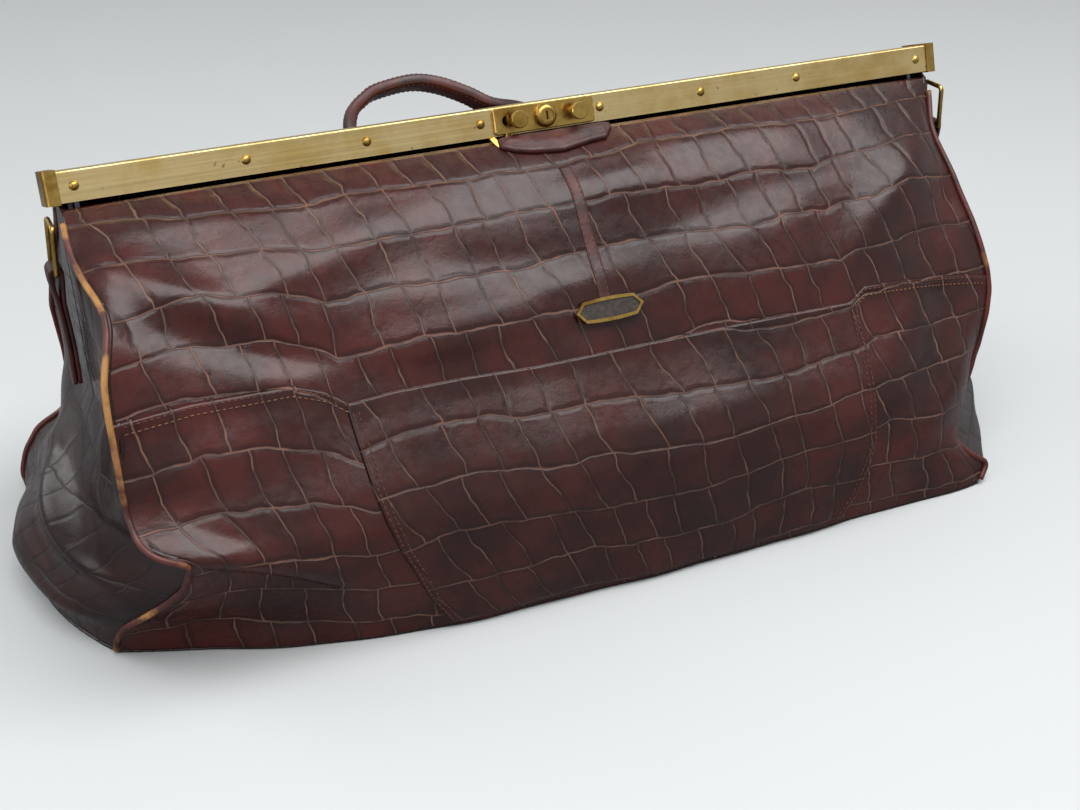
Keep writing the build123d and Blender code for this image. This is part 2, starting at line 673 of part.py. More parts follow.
def ring_tab(side):
    """Leather tab on the gusset, folded round the ring's lower bar."""
    foot = WAIST + TAB_FOOT_GAP
    outer_radius = TAB_EYE + TAB_LAYER
    strap = Pos(RING_X, (foot + RING_Z) / 2) * Rectangle(2 * outer_radius, RING_Z - foot)
    strap += Pos(RING_X, RING_Z) * Circle(outer_radius)
    strap -= Pos(RING_X, RING_Z) * Circle(TAB_EYE)
    plane = Plane(origin=(0, RING_Y + TAB_WIDTH / 2, 0), x_dir=(side, 0, 0), z_dir=(0, -side, 0))
    solid = extrude(plane * strap, TAB_WIDTH * side)
    return solid


def badge_plane():
    """Plane of the badge, lying on the bulge of the front panel."""
    slope = math.radians(BADGE_SLOPE)
    surface = row_at(FRONT_TABLE, BADGE_Z)[0]
    normal = (0, -math.cos(slope), math.sin(slope))
    return Plane(origin=(0, -surface - BADGE_STANDOFF, BADGE_Z), x_dir=(1, 0, 0), z_dir=normal)


def badge_outline(inset):
    """Long six-sided outline with gently arched long sides."""
    half = BADGE_LENGTH / 2 - inset
    rise = BADGE_HEIGHT / 2 - inset
    run = half - rise * SHOULDER_RUN
    low = rise * SHOULDER_RISE
    edges = [
        Line((-half, 0), (-run, low)),
        ThreePointArc((-run, low), (0, rise), (run, low)),
        Line((run, low), (half, 0)),
        Line((half, 0), (run, -low)),
        ThreePointArc((run, -low), (0, -rise), (-run, -low)),
        Line((-run, -low), (-half, 0)),
    ]
    return make_face(edges)


def badge_rim():
    """Brass rim of the badge."""
    ring = badge_outline(0.0) - badge_outline(BADGE_RIM)
    return badge_plane() * extrude(ring, BADGE_THICKNESS)


def badge_inlay():
    """Bare inlay within the rim."""
    return badge_plane() * extrude(badge_outline(BADGE_RIM + PIN_FIT), BADGE_THICKNESS - INLAY_DEPTH)


def front_pocket():
    """Patch pocket sewn flat on the lower front panel on three sides."""
    low = BASE_THICKNESS + 1.0
    sheet = panel_band(FRONT_TABLE, -1, low, POCKET_TOP, SKIN_GAP + TRIM, TRIM)
    top, foot = POCKET_TOP_WIDTH / 2, POCKET_FOOT_WIDTH / 2
    left = [
        (-top, POCKET_TOP + 1),
        (-foot - POCKET_BELLY, POCKET_BELLY_HEIGHT),
        (-foot, POCKET_FOOT),
    ]
    right = [(-x, z) for x, z in reversed(left)]
    outline = make_face(Polyline(*left, *right, close=True))
    outline = fillet(outline.vertices().group_by(Axis.Y)[0], POCKET_ROUNDING)
    return sheet & extrude(Plane.XZ * outline, BEYOND)


def centre_welt():
    """Double-stitched band down the middle of the upper front panel."""
    sheet = panel_band(FRONT_TABLE, -1, WELT_FOOT, WELT_TOP, SKIN_GAP + TRIM, TRIM)
    return sheet & Box(WELT_WIDTH, BEYOND, BEYOND)


def lock_pad():
    """Short leather pad that shows under the lock plate."""
    sheet = panel_band(FRONT_TABLE, -1, PAD_FOOT, PAD_TOP, SKIN_GAP + TRIM, TRIM)
    width = PLATE_LENGTH + 2 * PAD_MARGIN
    return sheet & Pos(LOCK_X + PAD_SHIFT, 0, 0) * Box(width, BEYOND, BEYOND)


def piping_run(side, end, low):
    """Piping along the corner between a panel and a gusset, up to the corner cap."""
    table = FRONT_TABLE if side < 0 else REAR_TABLE
    high = table[-1][0] - PIPING_END
    offset = PIPING_DIAMETER / 2 + PIPING_STANDOFF
    diagonal = math.sqrt(0.5)
    points = []
    for z in heights_between(table, low, high):
        _, edge, corner = row_at(table, z)
        points.append((end * (corner + offset * diagonal), side * (edge + offset * diagonal), z))
    spline = Spline(*points)
    start = Plane(origin=spline @ 0, z_dir=spline % 0)
    return sweep(start * Circle(PIPING_DIAMETER / 2), spline)


def save(shape, name):
    """Write one named sub-part."""
    export_step(shape, f"parts/{name}.step")


def main():
    os.makedirs("parts", exist_ok=True)
    window = lock_window()
    slots = catch_slots()
    front_upper = upper_panel(FRONT_LOWER, FRONT_UPPER, -1, FRONT_TUCK)
    rear_upper = upper_panel(REAR_LOWER, REAR_UPPER, 1, REAR_TUCK)
    front_lower = panel_band(FRONT_LOWER, -1, BASE_THICKNESS, WAIST, 0.0, LEATHER)
    rear_lower = panel_band(REAR_LOWER, 1, BASE_THICKNESS, WAIST, 0.0, LEATHER)

    save(base_leather(), "base_leather")
    save(base_stiffener(), "base_board")
    save(lining_wall(), "lining")
    save(front_lower, "front_lower_panel")
    save(rear_lower, "rear_lower_panel")
    save(gusset_wall(-1), "left_gusset")
    save(gusset_wall(1), "right_gusset")
    save(front_upper - window, "front_upper_panel")
    save(rear_upper, "rear_upper_panel")
    save(front_pocket(), "front_pocket")
    save(centre_welt(), "centre_welt")
    save(lock_pad(), "lock_pad")

    save(channel(True) - window - slots, "front_channel")
    save(channel(False) - slots, "rear_channel")
    save(steel_frame(True) - slots, "front_steel")
    save(steel_frame(False), "rear_steel")
    save(rivet_group(True), "front_rivets")
    save(rivet_group(False), "rear_rivets")
    for side, name in ((-1, "left"), (1, "right")):
        save(corner_cap(True, side), f"front_{name}_cap")
        save(corner_cap(False, side), f"rear_{name}_cap")
        save(hinge_pin(side), f"{name}_hinge_pin")
        save(hinge_plate(side), f"{name}_hinge_plate")
        save(knob(side), f"{name}_knob")
        save(handle_bracket(side), f"{name}_handle_bracket")
        save(handle_pin(side), f"{name}_handle_pin")
        save(strap_ring(side), f"{name}_ring")
        save(ring_tab(side), f"{name}_ring_tab")
        for row, row_name in ((-1, "front"), (1, "rear")):
            save(piping_run(row, side, PIPING_FOOT), f"{row_name}_{name}_piping")
    save(lock_plate(), "lock_plate")
    save(keyhole_collar(), "keyhole_collar")
    save(key_plug(), "key_plug")
    save(catches(), "lock_catches")
    save(handle_strap(), "handle_strap")
    save(handle_eyelets(), "handle_eyelets")
    save(bracket_rivets(), "handle_rivets")
    save(badge_rim(), "badge_rim")
    save(badge_inlay(), "badge_inlay")


main()
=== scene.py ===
import json
import math

import bpy
import numpy as np
from mathutils import Matrix, Vector

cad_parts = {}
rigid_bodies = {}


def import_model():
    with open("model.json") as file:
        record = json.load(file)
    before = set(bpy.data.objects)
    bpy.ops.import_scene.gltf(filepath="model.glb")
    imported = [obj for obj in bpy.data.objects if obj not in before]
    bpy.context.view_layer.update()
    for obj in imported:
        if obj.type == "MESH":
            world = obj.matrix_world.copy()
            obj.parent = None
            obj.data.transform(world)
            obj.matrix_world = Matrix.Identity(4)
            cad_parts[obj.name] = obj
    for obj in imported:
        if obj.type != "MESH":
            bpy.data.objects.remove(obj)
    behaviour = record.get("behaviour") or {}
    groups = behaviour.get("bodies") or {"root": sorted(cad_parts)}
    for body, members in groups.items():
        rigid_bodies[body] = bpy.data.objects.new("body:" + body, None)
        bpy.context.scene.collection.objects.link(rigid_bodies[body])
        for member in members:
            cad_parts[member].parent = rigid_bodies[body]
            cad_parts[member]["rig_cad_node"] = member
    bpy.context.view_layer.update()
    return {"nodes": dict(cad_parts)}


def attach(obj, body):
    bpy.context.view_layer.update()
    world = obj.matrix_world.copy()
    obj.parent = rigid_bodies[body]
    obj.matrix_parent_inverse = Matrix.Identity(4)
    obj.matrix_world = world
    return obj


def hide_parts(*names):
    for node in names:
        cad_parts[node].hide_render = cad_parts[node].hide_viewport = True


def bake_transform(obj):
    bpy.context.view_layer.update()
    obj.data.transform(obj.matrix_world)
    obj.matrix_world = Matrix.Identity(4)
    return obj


# The looks of the doctors bag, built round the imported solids. Shapes are in millimetres in
# the solids' frame (x along the mouth, y to the back, z up) and become metres in a mesh.

MM = 0.001
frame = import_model()

SIDES = ((-1, "left"), (1, "right"))
ROWS = ((True, "front"), (False, "rear"))

# Shape of the leather

HALF_MOUTH = 282.0
LEATHER = 2.6
FRONT_TOP, REAR_TOP = 235.5, 234.0
FOOT = 1.5
REAR_SEAM = 131.0
GUSSET_TOP = 150.0
# Nominal height, how far the middle stands out, left corner and right corner (x, y, z)
FRONT_ROWS = (
    (236.0, 17.0, -280, -16, 235, 280, -16, 235),
    (227.0, 42.0, -282.5, -34, 227, 276, -26, 221),
    (217.0, 56.0, -282, -48, 217, 271, -36, 209),
    (209.0, 66.0, -280, -60, 210, 270, -44, 201),
    (198.0, 76.0, -276, -78, 203, 272, -54, 190),
    (190.0, 82.0, -276, -90, 196, 273, -62, 182),
    (180.0, 90.0, -280, -100, 186, 274, -70, 172),
    (168.0, 98.0, -284, -107, 174, 276, -82, 158),
    (155.0, 106.0, -285, -112, 160, 277, -92, 145),
    (142.0, 112.0, -285, -116, 144, 278, -101, 130),
    (130.0, 118.0, -285, -119, 128, 278, -106, 117),
    (112.0, 132.0, -285, -124, 108, 275, -110, 102),
    (98.0, 143.0, -283, -134, 96, 272, -111, 88),
    (90.0, 147.0, -276, -142, 90, 270, -112, 80),
    (84.0, 150.0, -262, -150, 86, 268, -112, 74),
    (76.0, 153.0, -261, -146, 78, 266, -113, 65),
    (62.0, 155.0, -264, -137, 62, 262, -113, 50),
    (50.0, 156.0, -272, -128, 50, 254, -119, 38),
    (38.0, 156.0, -283, -118, 38, 238, -138, 30),
    (25.0, 155.5, -292, -104, 25, 246, -147, 22),
    (12.0, 154.5, -296, -95, 12, 261, -147, 12),
    (1.5, 153.0, -297, -91, 1.5, 252, -152, 1.5),
)
# Nominal height, the middle's reach, the right corner's x and both corners' y
REAR_ROWS = (
    (236.0, 1.0, 280, 1),
    (224.0, 22.0, 279, 10),
    (209.0, 50.0, 278, 26),
    (190.0, 74.0, 277, 46),
    (168.0, 95.0, 279, 66),
    (150.0, 109.0, 281, 84),
    (130.0, 121.0, 283, 98),
    (95.0, 145.0, 285, 107),
    (70.0, 155.0, 287, 109),
    (45.0, 157.0, 289, 111),
    (20.0, 155.0, 292, 111),
    (1.5, 149.0, 294, 107),
)
# Nominal height and reach in x of the rear left corner, dragged out to a point low down
REAR_LEFT_ROWS = (
    (236.0, 280.0),
    (209.0, 278.0),
    (168.0, 279.0),
    (130.0, 280.0),
    (95.0, 276.0),
    (62.0, 275.0),
    (50.0, 283.0),
    (42.0, 299.0),
    (27.0, 309.0),
    (12.0, 314.0),
    (1.5, 312.0),
)
# Nominal height and how far each gusset's middle stands out
GUSSET_ROWS = {
    -1: (
        (150.0, 282.0),
        (136.0, 275.0),
        (122.0, 280.0),
        (107.0, 288.0),
        (98.0, 296.0),
        (86.0, 304.0),
        (64.0, 321.0),
        (38.0, 332.0),
        (27.0, 334.0),
        (8.0, 330.0),
        (1.5, 325.0),
    ),
    1: (
        (150.0, 283.0),
        (130.0, 284.5),
        (95.0, 301.0),
        (70.0, 315.0),
        (45.0, 326.0),
        (20.0, 330.0),
        (1.5, 325.0),
    ),
}
# Powers of the gusset's swell towards its front and its rear corner: low ones fold sharply
GUSSET_POWERS = {-1: (2.0, 1.25), 1: (1.25, 2.3)}
# Place along the mouth and height of the waist seam
SEAM = (
    (-285.0, 150.0),
    (-243.0, 153.0),
    (-190.0, 152.0),
    (-172.0, 146.0),
    (-161.0, 138.5),
    (-136.0, 140.0),
    (-94.0, 139.0),
    (-49.0, 137.0),
    (98.0, 136.0),
    (160.0, 135.0),
    (173.0, 142.0),
    (208.0, 141.0),
    (285.0, 138.0),
)
# Height and x of the pocket's two side seams
POCKET_LEFT = ((0, -117), (26, -133), (47, -142), (61, -149), (83, -157), (101, -160), (139, -163))
POCKET_RIGHT = ((0, 139), (21, 153), (43, 160), (58, 163), (77, 162), (97, 163), (139, 166))
# Long soft folds: middle (x, z), half length, half width, turn in degrees, rise
FRONT_FOLDS = (
    (-235.0, 196.0, 60.0, 10.0, -24.0, 6.0),
    (-205.0, 174.0, 75.0, 11.0, -18.0, -5.5),
    (-150.0, 205.0, 60.0, 10.0, 10.0, 3.0),
    (-60.0, 190.0, 80.0, 13.0, -8.0, -3.0),
    (20.0, 214.0, 42.0, 9.0, 0.0, 3.5),
    (110.0, 200.0, 90.0, 12.0, 6.0, -3.0),
    (215.0, 188.0, 55.0, 12.0, 28.0, 4.0),
    (235.0, 160.0, 55.0, 11.0, 35.0, -3.5),
    (-235.0, 128.0, 60.0, 12.0, 4.0, 3.5),
    (-90.0, 160.0, 90.0, 10.0, 3.0, 2.5),
    (225.0, 104.0, 50.0, 14.0, 62.0, -4.0),
    (60.0, 92.0, 120.0, 16.0, 2.0, 2.0),
    (-60.0, 52.0, 90.0, 15.0, -6.0, -2.5),
    (200.0, 50.0, 50.0, 14.0, 40.0, 3.0),
)
# The same for the gusset's pleats, with y in place of x
GUSSET_FOLDS = (
    (-46.0, 70.0, 52.0, 7.0, 21.0, 7.0),
    (-50.0, 92.0, 50.0, 11.0, 21.0, -4.0),
    (-40.0, 46.0, 60.0, 13.0, 16.0, -5.0),
    (-62.0, 24.0, 46.0, 8.0, -4.0, 4.0),
    (45.0, 64.0, 55.0, 9.0, -32.0, 4.0),
    (50.0, 40.0, 55.0, 10.0, -20.0, -4.0),
    (-70.0, 118.0, 30.0, 8.0, 60.0, 4.0),
)
# The overhanging fold low on the left: x and height of its two ends
OVERHANG_X, OVERHANG_Z = (-262, -180), (86, 50)
OVERHANG_DEPTH, OVERHANG_ROLL = 8.0, 3.0
# The flat seat under the badge: height, half width, half height, depth
SEAT_Z, SEAT_HALF_WIDTH, SEAT_HALF_HEIGHT, SEAT_DEPTH = 158.0, 40.0, 15.0, 1.2
# The mouth's slit, on which both frames close
FRAME_TILT = math.radians(18.0)
PIVOT_Y, PIVOT_Z = -31.017, 153.795


def smooth(x):
    """Smooth step: 0 below 0, 1 above 1, and three squares less two cubes between."""
    x = np.clip(x, 0.0, 1.0)
    return x * x * (3 - 2 * x)


def table_value(rows, column, height, soften=3.0):
    """A column of a height table at any heights: the mean of five straight-line readings
    spread over 3 mm up and down, which rounds the table's corners."""
    rows = sorted(rows)
    heights = [row[0] for row in rows]
    values = [row[column] for row in rows]
    shifts = (-1.0, -0.5, 0.0, 0.5, 1.0)
    readings = [np.interp(height + shift * soften, heights, values) for shift in shifts]
    return sum(readings) / len(shifts)


def folds(across, up, table):
    """Sum of soft ridges and hollows: each is its rise times a bell of the distance along
    its own line and a narrower bell of the distance across it."""
    total = np.zeros_like(across * up)
    for middle, height, half, width, turn, rise in table:
        angle = math.radians(turn)
        along = (across - middle) * math.cos(angle) + (up - height) * math.sin(angle)
        aside = (up - height) * math.cos(angle) - (across - middle) * math.sin(angle)
        total = total + rise * np.exp(-((along / half) ** 2) - (aside / width) ** 2)
    return total


def waves(x, z, size):
    """Low rolling waves of slack leather: four sines of unlike lengths and directions."""
    return size * (
        0.9 * np.sin(x / 33.0 + z / 41.0)
        + 0.7 * np.sin(x / 17.0 - z / 27.0 + 1.3)
        + 0.6 * np.sin(z / 12.0 + x / 71.0)
        + 0.4 * np.sin(x / 9.0 + z / 14.0 + 0.4)
    )


def front_base(u, z):
    """Front skin before its folds. The middle follows its profile, and a high power of the
    share across (u from -1 to 1) draws the surface to each corner's path. Under the
    overhang's line the skin steps back, and just above the line it rolls out."""
    mid = table_value(FRONT_ROWS, 1, z)
    left = [table_value(FRONT_ROWS, column, z) for column in (2, 3, 4)]
    right = [table_value(FRONT_ROWS, column, z) for column in (5, 6, 7)]
    to_left = np.clip(-u, 0, 1)
    to_right = np.clip(u, 0, 1)
    slack_left = to_left ** (2.8 + 4.2 * smooth((z - 58) / 34))
    near_left = to_left**6
    near_right = to_right**6
    x = HALF_MOUTH * u + (left[0] + HALF_MOUTH) * near_left + (right[0] - HALF_MOUTH) * near_right
    y = -mid + (left[1] + mid) * slack_left + (right[1] + mid) * near_right
    height = z + (left[2] - z) * near_left + (right[2] - z) * near_right
    line = np.interp(x, OVERHANG_X, OVERHANG_Z)
    below = smooth((line - z) / 7.0) * smooth((-x - 168) / 34.0) * smooth(z / 22)
    roll = smooth(1 - np.abs(line + 6 - z) / 12.0) * smooth((-x - 170) / 26.0)
    y = y + OVERHANG_DEPTH * below * (1 - near_left) - OVERHANG_ROLL * roll
    return np.stack(np.broadcast_arrays(x, y, height), -1)


def rear_base(u, z):
    """Rear skin before its waves: a crowned panel whose middle gives way to the corners
    with the sixth power of the share across."""
    mid = table_value(REAR_ROWS, 1, z)
    right = table_value(REAR_ROWS, 2, z)
    left = table_value(REAR_LEFT_ROWS, 1, z)
    edge = table_value(REAR_ROWS, 3, z)
    power = np.abs(u) ** 6
    x = right * u + (right - left) * np.where(u < 0, power, 0.0)
    return np.stack(np.broadcast_arrays(x, mid + (edge - mid) * power, z), -1)


def corner_path(front, side, z):
    """Where a panel's left (-1) or right (1) corner runs: its base surface at that edge."""
    base = front_base if front else rear_base
    return base(side * np.ones_like(z), z)


def gusset_base(side, t, z):
    """End panel before its pleats: straight from the front corner (t = -1) to the rear one
    (t = 1), swelled outwards by one less a power of the share from the middle."""
    share = (t[..., None] + 1) / 2
    place = corner_path(True, side, z) * (1 - share) + corner_path(False, side, z) * share
    straight = side * place[..., 0]
    to_front, to_rear = GUSSET_POWERS[side]
    swell = 1 - np.abs(t) ** np.where(t < 0, to_front, to_rear)
    place[..., 0] += side * (table_value(GUSSET_ROWS[side], 1, z) - straight) * swell
    return place


def front_rise(u, z, place):
    """Folds and waves of the front, calmed at the frame and the corners, and pressed flat
    in a rounded box under the badge."""
    x = place[..., 0]
    calm = smooth((234 - z) / 18.0) * smooth((1.0 - np.abs(u)) / 0.06 + 0.15)
    seat = np.exp(-((x / SEAT_HALF_WIDTH) ** 4) - ((z - SEAT_Z) / SEAT_HALF_HEIGHT) ** 4)
    slack = folds(x, z, FRONT_FOLDS) + waves(x, z, 0.9)
    return slack * calm * (1 - seat) - SEAT_DEPTH * seat


def rear_rise(u, z, place):
    """Waves of the rear, calmed at the frame and the corners."""
    calm = smooth((228 - z) / 18.0) * smooth((1.0 - np.abs(u)) / 0.08 + 0.15)
    return waves(place[..., 0] + 130, z + 40, 1.3) * calm


def gusset_rise(u, z, place):
    """Pleats that fan down the gusset, calmed at its edges; its top is tucked in."""
    calm = smooth((150 - z) / 30.0) * smooth((1.0 - np.abs(u)) / 0.2) * smooth((z + 8) / 24.0)
    tucked = 2.2 * smooth((z - 133) / 8.0)
    slack = folds(place[..., 1], z, GUSSET_FOLDS) + waves(place[..., 1], z, 0.9)
    return slack * calm - tucked


def skin(base, rise, turn, u, z, lift):
    """Points on a base surface moved out along its normal by its rise and a lift, and the
    normals, which are the cross product of a small step across and one up."""
    u, z = np.broadcast_arrays(np.asarray(u, float), np.asarray(z, float))
    step_u, step_z = 0.004, 1.0
    place = base(u, z)
    over = base(u + step_u, z) - base(u - step_u, z)
    up = base(u, z + step_z) - base(u, z - step_z)
    normal = np.cross(over, up) * turn
    normal /= np.linalg.norm(normal, axis=-1, keepdims=True) + 1e-9
    return place + normal * np.asarray(rise(u, z, place) + lift)[..., None], normal


def front_skin(u, z, lift=0.0):
    """Front surface and its normals."""
    return skin(front_base, front_rise, 1, u, z, lift)


def rear_skin(u, z, lift=0.0):
    """Rear surface and its normals."""
    return skin(rear_base, rear_rise, -1, u, z, lift)


def gusset_skin(side):
    """The function that gives one gusset's surface and its normals."""
    return lambda u, z, lift=0.0: skin(
        lambda t, height: gusset_base(side, t, height), gusset_rise, side, u, z, lift
    )


# Mesh building


def grid_faces(rows, columns, turned=False, wrapped=False):
    """Quads of a grid whose points run row by row; wrapped joins its last column to its
    first."""
    index = np.arange(rows * columns).reshape(rows, columns)
    if wrapped:
        index = np.concatenate((index, index[:, :1]), 1)
    quads = np.stack((index[:-1, :-1], index[:-1, 1:], index[1:, 1:], index[1:, :-1]), -1)
    quads = quads.reshape(-1, 4)
    return quads[:, ::-1] if turned else quads


def mesh_object(name, points, faces, material, uv=None):
    """A smooth mesh from points in mm, a list of faces and, where given, places in mm."""
    mesh = bpy.data.meshes.new(name)
    mesh.from_pydata((np.reshape(points, (-1, 3)) * MM).tolist(), [], faces)
    if uv is not None:
        corners = np.zeros(len(mesh.loops), np.int64)
        mesh.loops.foreach_get("vertex_index", corners)
        places = np.reshape(uv, (-1, 2))[corners] * MM
        layer = mesh.uv_layers.new(name="skin")
        layer.data.foreach_set("uv", places.astype(np.float32).ravel())
    mesh.polygons.foreach_set("use_smooth", np.ones(len(mesh.polygons), bool))
    mesh.update()
    obj = bpy.data.objects.new(name, mesh)
    bpy.context.collection.objects.link(obj)
    obj.data.materials.append(material)
    return obj


def thicken(obj, thickness):
    """Wall of that many mm, grown inwards."""
    solid = obj.modifiers.new("thickness", "SOLIDIFY")
    solid.thickness = thickness * MM
    solid.offset = -1.0


def lengths_over(points, axis):
    """Running length of a grid's points along one of its two directions, in mm."""
    steps = np.linalg.norm(np.diff(points, axis=axis), axis=-1)
    start = np.zeros_like(steps.take([0], axis))
    return np.concatenate((start, np.cumsum(steps, axis=axis)), axis=axis)


def grid_uv(points, across, down):
    """A grid's place map in mm: the mean run across, from the middle, and the mean run
    down, so that the scales keep their size and line up from piece to piece."""
    run_across = lengths_over(points, 1).mean(0)
    run_down = lengths_over(points, 0).mean(1)
    middle = run_across[len(run_across) // 2]
    u = np.broadcast_to(run_across - middle + across, points.shape[:2])
    v = np.broadcast_to((down - run_down)[:, None], points.shape[:2])
    return np.stack((u, v), -1)


def shell(name, points, material, across=0.0, down=0.0, thickness=LEATHER, turned=True):
    """A grid of skin with its place map and its leather's thickness."""
    faces = grid_faces(*points.shape[:2], turned=turned).tolist()
    obj = mesh_object(name, points, faces, material, grid_uv(points, across, down))
    thicken(obj, thickness)
    return obj


def directions(path, hint):
    """Unit run, side and face at each point of a path: the face is the hint made square to
    the run, and the side is their cross product."""
    run = np.gradient(path, axis=0)
    run /= np.linalg.norm(run, axis=1, keepdims=True)
    face = hint - (hint * run).sum(1, keepdims=True) * run
    face /= np.linalg.norm(face, axis=1, keepdims=True)
    return run, np.cross(run, face), face


def sweep(name, path, outline, material, hint, widths=1.0, heights=1.0):
    """A closed tube: the outline's side and face distances, times the width and height at
    each point, carried along the path. Both ends are capped."""
    side, face = directions(path, np.broadcast_to(hint, path.shape))[1:]
    widths = np.broadcast_to(widths, len(path))[:, None, None]
    heights = np.broadcast_to(heights, len(path))[:, None, None]
    across, out = outline[None, :, 0:1], outline[None, :, 1:2]
    points = path[:, None] + side[:, None] * across * widths + face[:, None] * out * heights
    rows, columns = points.shape[:2]
    faces = grid_faces(rows, columns, turned=True, wrapped=True).tolist()
    last = list(range((rows - 1) * columns, rows * columns))
    faces += [list(range(columns)), last[::-1]]
    return mesh_object(name, points, faces, material)


def superellipse(width, height, count, power):
    """Rounded section: cosine and sine, each raised to two over the power. A power of 2 is
    a circle, and a higher one is flatter."""
    angle = np.linspace(0, 2 * math.pi, count, endpoint=False)
    cosine, sine = np.cos(angle), np.sin(angle)
    across = width / 2 * np.sign(cosine) * np.abs(cosine) ** (2 / power)
    out = height / 2 * np.sign(sine) * np.abs(sine) ** (2 / power)
    return np.stack((across, out), -1)


def catmull(values, count):
    """Catmull-Rom curve through all the rows, read at evenly spread places."""
    values = np.asarray(values, float)
    before, after = 2 * values[:1] - values[1:2], 2 * values[-1:] - values[-2:-1]
    padded = np.concatenate((before, values, after))
    places = np.linspace(0, len(values) - 1.0001, count)
    index = places.astype(int)
    t = (places - index)[:, None]
    a, b, c, d = (padded[index + k] for k in range(4))
    square = 2 * a - 5 * b + 4 * c - d
    cube = 3 * b - a - 3 * c + d
    return 0.5 * (2 * b + (c - a) * t + square * t**2 + cube * t**3)


# Sewing thread: one stitch in every pitch, each a closed spindle
STITCH = {"pitch": 3.4, "length": 2.5, "width": 0.75, "lift": 0.12}
HANDLE_STITCH = {"pitch": 3.0, "length": 2.1, "width": 0.6, "lift": 0.0}
STITCH_SIDES, STITCH_RINGS = 8, 3


def spindle(length, width):
    """One stitch: rings of a flattened ellipsoid, round its long way, between two poles.
    Returns its points (run, side, up) and its faces."""
    turn = np.linspace(0, 2 * math.pi, STITCH_SIDES, endpoint=False)
    tilt = np.linspace(-math.pi / 2, math.pi / 2, STITCH_RINGS + 2)[1:-1, None]
    run = np.sin(tilt) * np.ones(STITCH_SIDES)
    rings = np.stack((run, np.cos(tilt) * np.cos(turn), np.cos(tilt) * np.sin(turn)), -1)
    points = np.concatenate((rings.reshape(-1, 3), ((-1, 0, 0), (1, 0, 0))))
    points = points * (length / 2, width / 2, width / 2.4)
    first, last = STITCH_RINGS * STITCH_SIDES, STITCH_RINGS * STITCH_SIDES + 1
    ring = np.arange(STITCH_SIDES)
    after = np.roll(ring, -1)
    top = ring + (STITCH_RINGS - 1) * STITCH_SIDES
    faces = grid_faces(STITCH_RINGS, STITCH_SIDES, turned=True, wrapped=True)
    start = np.stack((ring, after, np.full(STITCH_SIDES, first)), -1)
    end = np.stack((np.roll(top, -1), top, np.full(STITCH_SIDES, last)), -1)
    return points, (faces, start, end)


def stitches(name, path, normals, material, pitch, length, width, lift):
    """A row of stitches: the spindle, set at even steps of the path's running length."""
    run = np.concatenate(([0.0], np.cumsum(np.linalg.norm(np.diff(path, axis=0), axis=1))))
    wanted = np.linspace(0, run[-1], max(int(run[-1] / pitch), 2))
    centres = np.stack([np.interp(wanted, run, path[:, k]) for k in range(3)], -1)
    ups = np.stack([np.interp(wanted, run, normals[:, k]) for k in range(3)], -1)
    runs, sides, ups = directions(centres, ups)
    unit, kinds = spindle(length, width)
    points = (
        centres[:, None]
        + runs[:, None] * unit[None, :, 0:1]
        + sides[:, None] * unit[None, :, 1:2]
        + ups[:, None] * (unit[None, :, 2:3] + lift)
    )
    shift = (np.arange(len(centres)) * len(unit))[:, None, None]
    faces = []
    for kind in kinds:
        faces += (kind[None] + shift).reshape(-1, kind.shape[1]).tolist()
    return mesh_object(name, points, faces, material)


# Materials


def linear(hex_code):
    """sRGB hex code to a linear colour."""
    channels = [int(hex_code[k : k + 2], 16) / 255 for k in (1, 3, 5)]
    bent = [c / 12.92 if c <= 0.04045 else ((c + 0.055) / 1.055) ** 2.4 for c in channels]
    return (*bent, 1.0)


def add(tree, kind, values=(), **settings):
    """A new node with its settings. Values fill its sockets in order, or by name or number
    from a dictionary; a node given as a value is linked by its first output."""
    node = tree.nodes.new("ShaderNode" + kind)
    for key, value in settings.items():
        setattr(node, key, value)
    for key, value in (values if isinstance(values, dict) else dict(enumerate(values))).items():
        if isinstance(value, bpy.types.Node):
            value = value.outputs[0]
        if isinstance(value, bpy.types.NodeSocket):
            tree.links.new(value, node.inputs[key])
        else:
            node.inputs[key].default_value = value
    return node


def shader_tree(name):
    """A new material with its tree and a plain shader already joined to the output."""
    material = bpy.data.materials.new(name)
    material.use_nodes = True
    tree = material.node_tree
    tree.nodes.clear()
    shader = add(tree, "BsdfPrincipled")
    add(tree, "OutputMaterial", (shader,))
    return material, tree, shader


def finish_surface(tree, shader, colour, rough, relief, strength=1.0):
    """Joins colour, roughness and a relief in metres to the shader."""
    bump = add(tree, "Bump", {"Height": relief, "Strength": strength, "Distance": 1.0})
    tree.links.new(colour, shader.inputs["Base Color"])
    tree.links.new(rough.outputs[0], shader.inputs["Roughness"])
    tree.links.new(bump.outputs[0], shader.inputs["Normal"])


def per_metre(size):
    """Texture scale of a pattern whose feature is that many mm across."""
    return 1 / (size * MM)


SMOOTH = {"interpolation_type": "SMOOTHSTEP"}
RGBA = {"data_type": "RGBA"}

# Embossed scales: rows 29 mm high, cross grooves 22.5 mm apart on average
SCALE_HEIGHT, SCALE_WIDTH = 29.0, 22.5


